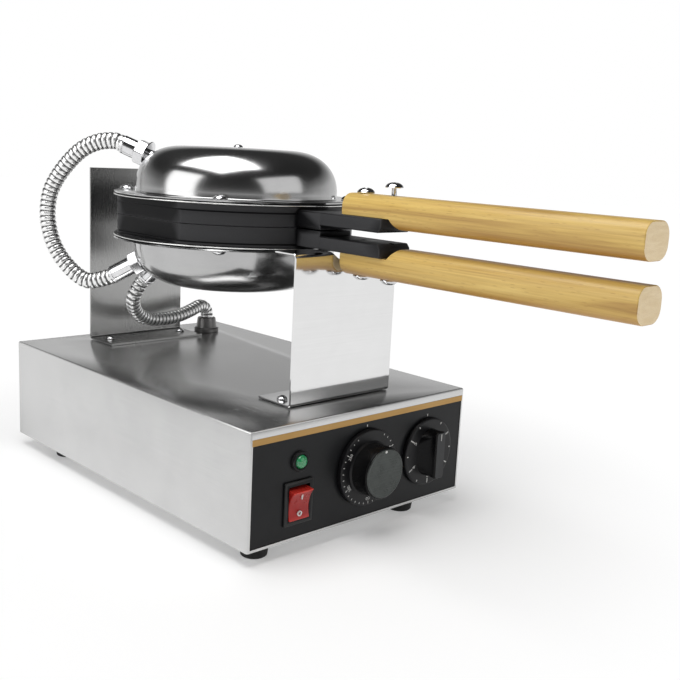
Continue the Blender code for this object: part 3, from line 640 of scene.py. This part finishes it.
def thicken(points, thick):
    """A sheet's closed profile: its outer line, and the same line moved in by the thickness."""
    inner = []
    for i, (r, z) in enumerate(points):
        before, after = points[max(i - 1, 0)], points[min(i + 1, len(points) - 1)]
        along = Vector((after[0] - before[0], after[1] - before[1])).normalized()
        inner.append((max(r + along.y * thick, 0.0), z - along.x * thick))
    inner[0] = (0.0, points[0][1] - thick)
    return [*points, *reversed(inner)]


def dome_outline():
    """(radius, height) down the dome: a crown that is nearly flat, a round shoulder and the flange."""
    power, steps = 2.4, 30
    rise = DOME_TOP - DOME_FOOT
    line = [(DOME_FLAT * i / 6, DOME_TOP) for i in range(6)]
    for i in range(steps + 1):
        angle = pi / 2 * (1 - i / steps)
        out, up = abs(cos(angle)) ** (2 / power), sin(angle) ** (2 / power)
        line.append((DOME_FLAT + (DOME_RADIUS - DOME_FLAT) * out, DOME_FOOT + rise * up))
    crowned = [(r, z - 0.0020 * (r / DOME_RADIUS) ** 2 * (z - DOME_FOOT) / rise) for r, z in line]
    fillet = 0.0012
    crowned += arc((DOME_RADIUS + fillet, DOME_FOOT), fillet, 180, 270, 5)[1:]
    return [*crowned, (RIM_RADIUS - 0.0005, FLANGE_TOP), (RIM_RADIUS, FLANGE_TOP - 0.0003)]


def make_dome(half):
    dome = moved(lathe(thicken(dome_outline(), SHEET), FINE), HALVES[half])
    piece(half + "_dome_cover", dome, POLISHED, "iron_" + half, "polished_steel", half + "_dome")


def make_rim(half):
    """The bright sheet under the dome's flange, round the top of the casting."""
    low, high = WALL_TOP + 0.0002, WALL_TOP + 0.0013
    edge = arc((RIM_RADIUS - 0.0006, (low + high) / 2), 0.00055, 90, -90, 6)
    ring = lathe([(WALL_RADIUS - 0.004, high), *edge, (WALL_RADIUS - 0.004, low)], FINE)
    piece(half + "_rim_ring", moved(ring, HALVES[half]), RIM, "iron_" + half, "bright_steel")


def flattened(bm, groove):
    """Presses the wall flat on both sides, a little less over the groove, with a crisp upright edge."""
    step = 2 * pi * WALL_RADIUS / FINE
    for vert in bm.verts:
        radius = Vector((vert.co.x, vert.co.y)).length
        if radius < SIDE_FLAT + 0.001 or vert.co.z > WALL_TOP + 0.0001:
            continue
        flat = SIDE_FLAT + (0.0008 if vert.co.z > groove else 0.0)
        corner = (radius**2 - flat**2) ** 0.5
        if abs(vert.co.x) > flat:
            if abs(vert.co.y) > corner - step * 0.75:
                vert.co.y = corner if vert.co.y > 0 else -corner
            vert.co.x = flat if vert.co.x > 0 else -flat
    return bm


def plate_profile(groove):
    """(radius, height) round the casting's section, with a groove at this height round its wall."""
    r, lip = WALL_RADIUS, 0.0004
    dent, ridge = r - 0.0008, WALL_TOP + 0.0019
    wall = [
        (r - 0.0022, WALL_TOP), (r - lip, WALL_TOP), (r, WALL_TOP - lip), (r, groove + 0.0009),
        (dent, groove + 0.0006), (dent, groove - 0.0001), (r, groove - 0.0004), (r, PARTING + lip),
        (r - lip, PARTING),
    ]
    return [
        (0, WEB_BACK), (POCKET_RADIUS, WEB_BACK), (POCKET_RADIUS, ridge), (RIM_RADIUS - 0.006, ridge),
        *wall, (CAVITY_RADIUS, PARTING), (CAVITY_RADIUS - 0.0012, CAVITY_FLOOR), (0, CAVITY_FLOOR),
    ]


def tongue_tools():
    """What adds the tongue that carries the handle, and drills it for the handle's screws."""
    half, back = TONGUE_HALF, 0.010 - TONGUE_ROOT_END
    start, end = (-half, -TONGUE_ROOT_END, PARTING + 0.0003), (half, -PLATE_EDGE, TONGUE_OUTER - 0.0001)
    outline = [
        (-TONGUE_END, TONGUE_OUTER), (-TONGUE_END, HANDLE_INNER + 0.0004),
        (0.0026 - TONGUE_END, TONGUE_INNER), (back, TONGUE_INNER), (back, TONGUE_OUTER),
    ]
    tools = [("UNION", block(start, end, 0.0012)), ("UNION", prism(outline, half - 0.0002, 0.0009))]
    for forward in HANDLE_SCREWS:
        hole = moved(rod(0.0023, 0, 0.03, 24), Matrix.Translation((0, -forward, 0)))
        tools.append(("DIFFERENCE", hole))
    return tools


def hinge_tools(half):
    """What adds the hinge knuckles, the lower half's arm and boss for the roll shaft, and the pin's hole."""
    back = HINGE.y - IRON.y
    pin = aimed((0, back, 0), (1, 0, 0))
    tools = []
    for low, high in KNUCKLES[half]:
        start = (low + 0.0002, PLATE_EDGE, PARTING + 0.0003)
        neck = block(start, (high - 0.0002, back + 0.001, KNUCKLE - 0.0005), 0.0006, 2)
        tools += [("UNION", neck), ("UNION", moved(rod(KNUCKLE, low, high, 40), pin))]
    if half == "lower":
        k = LOWER_KNUCKLE
        arm = block((0.0003 - k, back, -k), (k - 0.0003, 0.130, k), 0.001, 2)
        boss = moved(rod(0.0115, 0.126, 0.136), aimed((0, 0, 0), (0, 1, 0)))
        tools += [("UNION", arm), ("UNION", boss)]
    return [*tools, ("DIFFERENCE", moved(rod(0.0031, -0.03, 0.03, 24), pin))]


def make_plate(half):
    """The casting: baking face, wall with a groove, side flats, handle tongue and hinge knuckles."""
    groove = 0.0105 if half == "upper" else 0.0132
    plate = bare(half + "_casting", flattened(lathe(plate_profile(groove), FINE), groove), CAST)
    shaped(plate, tongue_tools() + hinge_tools(half))
    plate.data.transform(HALVES[half])
    settle(plate, "iron_" + half, "black_coated_casting", half + "_plate")


def make_waffle_face(half):
    """The baking face's diamond grid of low ridges."""
    pitch, foot, crest, tall = 0.0105, 0.0014, 0.0005, 0.0019
    count = 8
    reach = (count + 0.5) * pitch
    lines = [(-reach, 0)]
    for i in range(-count, count + 1):
        at = i * pitch
        lines += [(at - foot, 0), (at - crest, 1), (at + crest, 1), (at + foot, 0)]
    lines.append((reach, 0))
    bm = bmesh.new()
    floor, under = CAVITY_FLOOR, CAVITY_FLOOR + 0.0004
    turn = Matrix.Rotation(radians(45), 3, "Z")

    def sheet(height):
        return [[bm.verts.new(turn @ Vector((u, v, height(a, b)))) for v, b in lines] for u, a in lines]

    front = sheet(lambda a, b: floor - tall * max(a, b))
    rear = sheet(lambda a, b: under)
    n = len(lines)
    for grid in (front, rear):
        for i in range(n - 1):
            for j in range(n - 1):
                bm.faces.new((grid[i][j], grid[i + 1][j], grid[i + 1][j + 1], grid[i][j + 1]))
    for i in range(n - 1):
        for end in (0, n - 1):
            for (a, b), (c, d) in (((i, end), (i + 1, end)), ((end, i), (end, i + 1))):
                bm.faces.new((front[a][b], front[c][d], rear[c][d], rear[a][b]))
    bmesh.ops.recalc_face_normals(bm, faces=bm.faces[:])
    face = bare(half + "_waffle_face", bm, CAST)
    shaped(face, [("INTERSECT", rod(CAVITY_RADIUS - 0.0016, -0.001, 0.01, FINE))])
    face.data.transform(HALVES[half])
    settle(face, "iron_" + half, "black_coated_casting")


def rounded(half_width, low, high, radius, steps=8):
    """(x, z) round a rectangle with round corners."""
    ring = []
    for cx, cz, start in (
        (half_width - radius, high - radius, 0), (radius - half_width, high - radius, 90),
        (radius - half_width, low + radius, 180), (half_width - radius, low + radius, 270),
    ):
        ring += arc((cx, cz), radius, start, start + 90, steps)
    return ring


def round_end(y, way, radius, steps=5):
    """(y, inset) stops that take the handle's sides in to its end face."""
    turns = [pi / 2 * i / steps for i in range(steps + 1)]
    return [(y + way * radius * (1 - sin(a)), radius * (1 - cos(a))) for a in turns]


def notch_outline(near):
    """(y, z) round the notch that takes the tongue. Its far end eases down to the tongue's nose."""
    seat = TONGUE_OUTER + GAP
    dip = 0.55 * (seat - HANDLE_INNER)
    start, run = 0.0015 - HANDLE_NOTCH_END, 0.0035
    turns = [pi * i / 6 for i in range(4)]
    curve = [(start - run * a / pi, seat - dip * (1 - cos(a)) / 2) for a in turns]
    foot = -HANDLE_NOTCH_FOOT
    return [(near + 0.01, 0), (near + 0.01, seat), *curve, (foot, HANDLE_INNER), (foot, 0)]


def make_handle(half):
    """Beech, with round corners and ends, notched over the tongue."""
    near, far = -HANDLE_START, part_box(half + "_handle")[0].y - IRON.y
    rings = []
    for y, inset in sorted(round_end(far, 1, HANDLE_END_ROUND) + round_end(near, -1, HANDLE_START_ROUND)):
        corner = HANDLE_CORNER - inset * 0.5
        ring = rounded(HANDLE_HALF - inset, HANDLE_INNER + inset, HANDLE_OUTER - inset, corner)
        rings.append([(x, y, z) for x, z in ring])
    handle = bare(half + "_wooden_handle", loft(rings), WOOD, WOOD_END)
    for face in handle.data.polygons:
        face.material_index = int(abs(face.normal.y) > 0.9)
    shaped(handle, [("DIFFERENCE", prism(notch_outline(near), 0.03))])
    handle.data.transform(HALVES[half])
    settle(handle, "iron_" + half, "beech", half + "_handle")


SCREW_MESHES = {}


def screw_mesh(head, length):
    """A pan-head screw with a cross recess. The top of its head is at 0, and it points down."""
    key = (round(head, 5), round(length, 5))
    if key not in SCREW_MESHES:
        tall = 0.6 * head
        crown = [(head * sin(radians(a)), -tall * (1 - cos(radians(a)))) for a in range(0, 81, 10)]
        points = [*crown, (head, -tall * 0.86), (head * 0.97, -tall), (0.0020, -tall)]
        turns = int((length - tall) / 0.0008)
        for i in range(turns):  # a rolled thread, as plain ridges
            z = -tall - (length - tall) * (i + 0.5) / turns
            points += [(0.0020, z + 0.00018), (0.00172, z)]
        points += [(0.0018, -length), (0, -length)]
        screw = bare("screw", lathe(points, 32), CHROME)
        a, b = 0.62 * head, 0.13 * head
        deep = -0.55 * tall
        cross = [("DIFFERENCE", block((-a, -b, deep), (a, b, 0.001))),
                 ("DIFFERENCE", block((-b, -a, deep), (b, a, 0.001)))]
        smooth(shaped(screw, cross), 40)
        SCREW_MESHES[key] = screw.data
        bpy.data.objects.remove(screw)
    return SCREW_MESHES[key]


def make_screws():
    """Every screw stands upright, with its head on top, or below on the lower half."""
    for body, nodes in frame["record"]["behaviour"]["bodies"].items():
        for node in nodes:
            if "screw" not in node:
                continue
            low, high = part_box(node)
            middle = (low + high) / 2
            mesh = screw_mesh((high.x - low.x) / 2, high.z - low.z)
            screw = placed(node + "_detail", mesh)
            flip = body == "iron_lower"
            screw.location = (middle.x, middle.y, low.z if flip else high.z)
            spin = radians(37 * len(node))  # each recess stands its own way
            screw.rotation_euler = (pi if flip else 0, 0, spin)
            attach(screw, body)
            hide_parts(node)


# ------------------------------ hoses

def in_plane(plane, radius, height):
    return Vector((radius * cos(radians(plane)), IRON.y + radius * sin(radians(plane)), IRON.z + height))


def fitting_frame(name):
    """The middle of a hose nut, and the way that its hose leaves."""
    plane, radius, height, slope, _ = FITTINGS[name]
    middle = in_plane(plane, radius, height)
    further = in_plane(plane, radius + cos(radians(slope)), height + sin(radians(slope)))
    return middle, (further - middle).normalized()


def hose_end(name):
    """Where the hose leaves a fitting's ferrule, and which way."""
    middle, way = fitting_frame(name)
    return middle + way * (NUT_THICK / 2 + GAP + FITTINGS[name][-1]), way


def make_fitting(name):
    """A chamfered hexagon nut on a thin washer, with a smooth ferrule that is rolled at its end."""
    middle, way = fitting_frame(name)
    node, ferrule = name + "_hose_fitting", FITTINGS[name][-1]
    half = NUT_THICK / 2
    across = NUT_RADIUS
    hexagon = rod(across, -half, half, 6)
    nut = bare(node + "_detail", eased(hexagon, 0.0007), CHROME)
    chamfer = lathe([
        (0, half + 0.001), (across * 0.80, half + 0.001), (across * 1.02, half - 0.0016),
        (across * 1.02, 0.0016 - half), (across * 0.80, -half - 0.001), (0, -half - 0.001),
    ])
    tail, end = HOSE_RADIUS + 0.0008, half + ferrule
    barrel = lathe([
        (0, end), (tail - 0.0010, end), (tail - 0.0003, end - 0.0003), (tail, end - 0.0010),
        (tail, end - 0.0026), (tail - 0.0004, end - 0.0030), (tail - 0.0004, end - 0.0036),
        (tail, end - 0.0040), (tail, half + 0.0006), (tail + 0.0006, half + 0.0002),
        (tail + 0.0006, half - 0.001), (0.0088, half - 0.002), (0.0088, -half + 0.0005),
        (0.0124, -half + 0.0002), (0.0126, -half - 0.0002), (0.0124, -half - 0.0008),
        (0.0060, -half - 0.0008), (0.0060, -half - 0.009), (0, -half - 0.009),
    ])
    shaped(nut, [("INTERSECT", chamfer), ("UNION", barrel)])
    nut.data.transform(aimed(middle, way))
    settle(nut, "iron_upper" if name == "upper" else "iron_lower", "bright_steel", node)


def smooth_route(points, steps):
    """Points along a smooth curve through these ones."""
    ends = [2 * points[0] - points[1], *points, 2 * points[-1] - points[-2]]
    route = []
    for a, b, c, d in zip(ends, ends[1:], ends[2:], ends[3:]):
        for i in range(steps):
            t = i / steps
            route.append(
                0.5 * (2 * b + (c - a) * t + (2 * a - 5 * b + 4 * c - d) * t**2
                       + (3 * b - a - 3 * c + d) * t**3)
            )
    return [*route, points[-1]]


def even(points, step):
    """The same line with points the same distance apart, and its length."""
    along = [0.0]
    for a, b in zip(points, points[1:]):
        along.append(along[-1] + (b - a).length)
    count = round(along[-1] / step)
    out, k = [], 0
    for i in range(count + 1):
        at = along[-1] * i / count
        while k < len(points) - 2 and along[k + 1] < at:
            k += 1
        share = (at - along[k]) / max(along[k + 1] - along[k], 1e-9)
        out.append(points[k].lerp(points[k + 1], share))
    return out, along[-1]


# A rib's section, as (share of the pitch, share of the radius): a flat band and a deep groove.
RIB_SECTION = (
    (0.00, 0.88), (0.08, 0.885), (0.16, 0.955), (0.26, 0.99), (0.40, 1.0), (0.56, 1.0), (0.72, 0.99),
    (0.84, 0.95), (0.93, 0.885),
)
SHADED_GROOVE_RINGS = (0, 1, 7, 8)  # the steps of that section which are painted dark, as shade in the grooves


def hose_rings(path, radius, ribs, sides=28):
    """Rings of points that follow the ribs along an even path, and the middle of each."""
    stations = [(i + share) / ribs for i in range(ribs) for share, _ in RIB_SECTION] + [1.0]
    sizes = [size for _, size in RIB_SECTION] * ribs + [RIB_SECTION[0][1]]
    turns = [2 * pi * i / sides for i in range(sides)]
    last = len(path) - 1
    rings, centres = [], []
    across = None
    for station, size in zip(stations, sizes):
        at = station * last
        k = min(int(at), last - 1)
        centre = path[k].lerp(path[k + 1], at - k)
        ahead = (path[min(k + 2, last)] - path[max(k - 1, 0)]).normalized()
        across = ahead.orthogonal().normalized() if across is None else across
        across = (across - ahead * across.dot(ahead)).normalized()
        third = ahead.cross(across)
        rings.append([centre + (across * cos(a) + third * sin(a)) * radius * size for a in turns])
        centres.append(centre)
    return rings, centres


def make_hose(name, radius, points, node):
    """Armoured hose: rolled bands with grooves painted dark as shade, swept along its route."""
    path, length = even(smooth_route(points, 10), 0.0010)
    rings, centres = hose_rings(path, radius, round(length / RIB_PITCH))
    bm = loft(rings)
    for i, face in enumerate(bm.faces):
        step = i // len(rings[0]) % len(RIB_SECTION)
        face.material_index = int(len(face.verts) == 4 and step in SHADED_GROOVE_RINGS)
    hose = smooth(bare(name, bm, HOSE_BAND, HOSE_GROOVE_SHADE), 50)
    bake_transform(hose)
    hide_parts(node)


def hose_points(first, between, last):
    """The route from one end to the other, straight where it enters its fittings."""
    (start, start_way), (end, end_way) = first, last
    tuck, lead = 0.001, 0.004
    return [start - start_way * tuck, start + start_way * lead, *between, end + end_way * lead,
            end - end_way * tuck]


def make_hoses():
    between = [
        (0.1140, 0.0598), (0.1280, 0.0577), (0.1440, 0.0495), (0.1600, 0.0330), (0.1710, 0.0155),
        (0.1748, 0.0), (0.1748, -0.0150), (0.1710, -0.0310), (0.1635, -0.0450), (0.1540, -0.0555),
        (0.1455, -0.0620), (0.1350, -0.0655),
    ]
    route = [in_plane(LINK_PLANE, *p) for p in reversed(between)]
    points = hose_points(hose_end("lower"), route, hose_end("upper"))
    make_hose("link_hose_armour", HOSE_RADIUS, points, "link_hose")

    between = [
        (-0.0400, 0.0960, 0.1500), (-0.0315, 0.1055, 0.1350), (-0.0160, 0.1120, 0.1255),
        (0.0050, 0.1160, 0.1225), (0.0260, 0.1200, 0.1232), (0.0450, 0.1260, 0.1262),
        (0.0600, 0.1315, 0.1290), (0.0690, 0.1345, 0.1255),
    ]
    low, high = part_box("base_hose_gland")
    gland = Vector(((low.x + high.x) / 2, (low.y + high.y) / 2, high.z))
    up = Vector((0, 0, 1))
    route = [Vector((x, BASE_Y + y, z)) for x, y, z in reversed(between)]
    points = hose_points((gland + up * GAP, up), route, hose_end("base"))
    make_hose("base_hose_armour", HOSE_RADIUS - 0.0006, points, "base_hose")
    for name in FITTINGS:
        make_fitting(name)


# ------------------------------ base and supports

def folded(corners, radius, steps=8):
    """The polyline with round folds."""
    turns = [pi / 2 * i / steps for i in range(steps + 1)]
    path = [Vector(corners[0])]
    for before, corner, after in zip(corners, corners[1:], corners[2:]):
        corner = Vector(corner)
        back = (Vector(before) - corner).normalized() * radius
        on = (Vector(after) - corner).normalized() * radius
        centre = corner + back + on
        path += [centre - on * cos(a) - back * sin(a) for a in turns]
    return [*path, Vector(corners[-1])]


def bent_sheet(corners, half_width, thick, fold_radius):
    """Sheet bent along the (y, z) corners of its middle line, across X, with eased edges."""
    path = folded(corners, fold_radius)
    sides = []
    for i, point in enumerate(path):
        before, after = path[max(i - 1, 0)], path[min(i + 1, len(path) - 1)]
        along = (after - before).normalized()
        normal = Vector((-along.y, along.x)) * thick / 2
        sides.append((point + normal, point - normal))
    ease = 0.0004
    rings = []
    edge = half_width - ease
    for x, inset in ((-half_width, ease), (-edge, 0), (edge, 0), (half_width, ease)):
        share = inset / thick
        line = [a.lerp(b, share) for a, b in sides] + [b.lerp(a, share) for a, b in reversed(sides)]
        rings.append([(x, point.x, point.y) for point in line])
    return loft(rings)


def make_supports():
    thick, radius = 0.0018, 0.0026
    low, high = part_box("front_support")
    half = thick / 2
    plate_y, top, foot = low.y + half, high.z - half, low.z + half
    flange = 0.023
    corners = [(plate_y + flange, top), (plate_y, top), (plate_y, foot), (high.y, foot)]
    front = bare("front_support_sheet", bent_sheet(corners, high.x, thick, radius), MIRROR)
    cradle = moved(rod(0.0222, -0.04, 0.02, 96), aimed((0, low.y, IRON.z), (0, -1, 0)))
    shaped(front, [("DIFFERENCE", cradle)])
    settle(front, "base", "polished_steel", "front_support")

    low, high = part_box("rear_support")
    plate_y = high.y - half
    corners = [(low.y, low.z + half), (plate_y, low.z + half), (plate_y, high.z)]
    rear = bare("rear_support_sheet", bent_sheet(corners, high.x, thick, radius), UPRIGHT)
    hole = moved(rod(0.0088, -0.01, 0.01), aimed((0, plate_y, IRON.z), (0, 1, 0)))
    shaped(rear, [("DIFFERENCE", hole)])
    settle(rear, "base", "brushed_stainless", "rear_support")


def make_panel_trim():
    """The gold band that laps over the top edge of the panel."""
    low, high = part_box("control_panel")
    top = high.z + 0.0022
    front = BASE_LOW.y - 0.0002
    band = block((low.x - 0.0008, front, top - 0.0048), (high.x + 0.0008, PANEL_Y, top), 0.0001, 1)
    piece("panel_gold_band", band, GOLD, "base", "bronze")


# ------------------------------ controls

def make_lamp():
    place = on_panel("lamp_bezel")
    bezel = [
        *arc((0.0070, 0.0018), 0.0008, 90, 0, 5), (0.0078, GAP), (0.0056, GAP), (0.0056, 0.0010),
        (0.0057, 0.0022), *arc((0.0061, 0.0022), 0.0004, 180, 90, 3),
    ]
    piece("lamp_ring", moved(lathe(bezel), place), BEZEL, "base", "black_plastic", "lamp_bezel")
    crown = [(0.0052 * sin(radians(a)), 0.0016 + 0.0040 * cos(radians(a))) for a in range(0, 91, 9)]
    lens = [*crown, (0.0052, -0.002), (0, -0.002)]
    piece("lamp_jewel", moved(lathe(lens), place), GREEN, "base", "green_lens", "lamp_lens")


def make_switch():
    place = on_panel("switch_housing")
    low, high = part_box("switch_housing")
    half_x, half_z = (high.x - low.x) / 2, (high.z - low.z) / 2
    bezel = bare("switch_bezel", block((-half_x, -half_z, GAP), (half_x, half_z, 0.0020), 0.0006), BEZEL)
    pocket = block((-0.0100, -0.0130, -0.03), (0.0100, 0.0130, 0.02))
    body = block((-half_x + 0.0015, -half_z + 0.0018, -0.026), (half_x - 0.0015, half_z - 0.0018, 0.0012))
    floor = block((-0.0112, -0.0145, -0.026), (0.0112, 0.0145, -0.0115))
    shaped(bezel, [("UNION", body), ("DIFFERENCE", pocket), ("UNION", floor)])
    bezel.data.transform(place)
    settle(bezel, "base", "black_plastic", "switch_housing")

    pivot = Vector(JOINTS["rocker_press"]["pos_m"])
    tilt = Matrix.Translation(pivot) @ Matrix.Rotation(radians(10), 4, "X")
    # Two hollow faces that meet in a valley at the middle, on a narrower back
    steps = (1.0, 0.75, 0.5, 0.25, 0.0)
    upper = [(-0.0085 + 0.0029 * (1 - t) + 0.0009 * sin(pi * t), 0.0116 * t) for t in steps]
    lower = [(y, -z) for y, z in reversed(upper[:-1])]
    outline = [*upper, *lower, (0.0015, -0.0110), (0.0070, -0.005), (0.0070, 0.005), (0.0015, 0.0110)]
    rocker = prism(outline, 0.0096, 0.0006)
    piece("rocker_cap", moved(rocker, tilt), RED, "rocker", "red_plastic", "switch_rocker")
    deep = -0.0078
    bar = block((-0.0004, deep + 0.0002, 0.0046), (0.0004, deep + 0.0014, 0.0086))
    ring = lathe([(0.0021, 0.0004), (0.0014, 0.0004), (0.0014, -0.0008), (0.0021, -0.0008)], 32)
    ring = moved(ring, aimed((0, deep + 0.0004, -0.0070), (0, -1, 0)))
    piece("rocker_marks", moved(merged(bar, ring), tilt), PRINT, "rocker", "white_ceramic")


def dial_marks(ticks, figures, radius, height, reach, size, half_width=0.00026):
    """White ticks round a skirt, with generic figures inside them. Angles run clockwise from the top."""
    parts = []
    for angle, long in ticks:
        turn = Matrix.Rotation(-radians(angle), 4, "Z")
        tick = block((-half_width, radius - long, height - 0.0001), (half_width, radius, height + 0.00006))
        parts.append(moved(tick, turn))
    for angle, text in figures:
        label = moved(words(text, size), Matrix.Translation((0, reach, height)))
        parts.append(moved(label, Matrix.Rotation(-radians(angle), 4, "Z")))
    return merged(*parts)


def make_thermostat():
    place = on_panel("thermostat_knob")
    skirt = [
        (0, 0.0064), (0.0205, 0.0064), (0.0218, 0.0052), *arc((0.0293, 0.0040), 0.0012, 90, 0, 6),
        (0.0305, 0.0010), (0, 0.0010),
    ]
    piece("thermostat_skirt", moved(lathe(skirt, DIAL), place), SKIRT, "thermostat", "black_plastic")
    grip = [
        (0, 0.0214), (0.0188, 0.0214), *arc((0.0192, 0.0202), 0.0012, 80, 0, 6), (0.0205, 0.0066),
        (0.0200, 0.0058), (0, 0.0058),
    ]
    grip = moved(lathe(grip, DIAL), place)
    piece("thermostat_grip", grip, KNOB, "thermostat", "black_plastic", "thermostat_knob")
    turned = [(0.0006 * i, 0.0216 + (0.00004 if i % 2 else 0.0)) for i in range(1, 30)]
    cap = [(0, 0.0216), *turned, *arc((0.0185, 0.0211), 0.0009, 90, 0, 6), (0.0194, 0.0205), (0, 0.0205)]
    piece("thermostat_cap", moved(lathe(cap, DIAL), place), CAP, "thermostat", "black_plastic")
    dot = lathe([(0, 0.0003), (0.0010, 0.0003), (0.0012, 0), (0.0012, -0.0006), (0, -0.0006)], 24)
    dot = moved(dot, Matrix.Translation((0, 0.0172, 0.0217)))
    ticks = [(a, 0.0022 if a % 60 == 0 else 0.0013) for a in range(30, 331, 10)]
    figures = [(60 * i, str(50 * i)) for i in range(1, 6)]
    marks = dial_marks(ticks, figures, 0.0290, 0.0052, 0.0246, 0.0036)
    piece("thermostat_marks", moved(merged(dot, marks), place), PRINT, "thermostat", "white_ceramic")


def make_timer():
    place = on_panel("timer_knob")
    skirt = [
        (0, 0.0040), (0.0255, 0.0040), *arc((0.0268, 0.0023), 0.0017, 90, 0, 6), (0.0285, 0.0010),
        (0, 0.0010),
    ]
    piece("timer_skirt", moved(lathe(skirt, DIAL), place), SKIRT, "timer", "black_plastic")
    rings = []
    for i in range(13):  # a round foot that narrows to a bar
        t = i / 12
        width = 0.0056 + 0.0094 * (1 - t) ** 2.2
        inset = 0.0008 * max(0.0, t * 12 - 10) ** 2 / 4
        corner = min(width - inset - 0.0001, 0.0022 + 0.0128 * (1 - t) ** 1.5)
        height = 0.0030 + 0.0135 * (1 - (1 - t) ** 1.25)
        outline = rounded(width - inset, inset - 0.0198, 0.0198 - inset, corner)
        rings.append([(x, y, height) for x, y in outline])
    grip = bare("timer_grip", loft(rings), KNOB, GRIP_FACE_LIT)
    # The bar's outer face gets the lighter grey: painted light
    for face in grip.data.polygons:
        face.material_index = 1 if face.normal.z > 0.9 and face.center.z > 0.010 else 0
    grip.data.transform(place)
    settle(grip, "timer", "black_plastic", "timer_knob")
    bar = block((-0.0004, 0.0125, 0.0160), (0.0004, 0.0182, 0.01655), 0.0001, 1)
    ticks = [(a, 0.0040 if a % 60 == 0 else 0.0016) for a in range(30, 331, 30)]
    figures = [(60 * i, str(i)) for i in range(1, 6)]
    marks = dial_marks(ticks, figures, 0.0266, 0.0040, 0.0200, 0.0050, 0.0004)
    piece("timer_marks", moved(merged(bar, marks), place), PRINT, "timer", "white_ceramic")


def make_index_marks():
    """A short line on the panel over each dial."""
    parts = []
    for node, reach in (("thermostat_knob", 0.0318), ("timer_knob", 0.0298)):
        mark = block((-0.0004, reach, -0.0001), (0.0004, reach + 0.0018, 0.00008))
        parts.append(moved(mark, on_panel(node)))
    piece("panel_index_marks", merged(*parts), PRINT, "base", "white_ceramic")


# ------------------------------ carried-over CAD pieces

CAD_SURFACES = (
    (BRUSHED, "base_housing", "bottom_pan"),
    (PANEL, "control_panel"),
    (RUBBER, "foot_front_left", "foot_front_right", "foot_rear_left", "foot_rear_right", "cord_gland"),
    (GREY_PLASTIC, "thermostat_body", "timer_body"),
    (CERAMIC, "terminal_block"),
    (BRONZE, "pivot_bush"),
    (SHEATH, "base_hose_gland", "lower_heater", "upper_heater"),
    (CHROME, "hinge_pin", "roll_shaft", "shaft_washer", "shaft_nut", "thermostat_spindle", "timer_spindle"),
)


def dress_cad(obj, surface):
    """Gives a CAD piece that stays its material, with smooth round faces and crisp edges."""
    obj.data.materials.clear()
    obj.data.materials.append(surface)
    custom = obj.data.attributes.get("custom_normal")
    if custom:
        obj.data.attributes.remove(custom)
    obj.data.shade_smooth()
    weld = obj.modifiers.new("weld", "WELD")
    weld.merge_threshold = 0.00001
    crisp = obj.modifiers.new("crisp", "EDGE_SPLIT")
    crisp.split_angle = radians(32)
    crisp.use_edge_sharp = False


# ------------------------------ the whole machine

make_camera()
make_world()
make_stage()
make_lights()
make_hoses()
for half in HALVES:
    make_dome(half)
    make_rim(half)
    make_plate(half)
    make_waffle_face(half)
    make_handle(half)
make_screws()
make_supports()
make_panel_trim()
make_lamp()
make_switch()
make_thermostat()
make_timer()
make_index_marks()
for surface, *nodes in CAD_SURFACES:
    for node in nodes:
        dress_cad(frame["nodes"][node], surface)
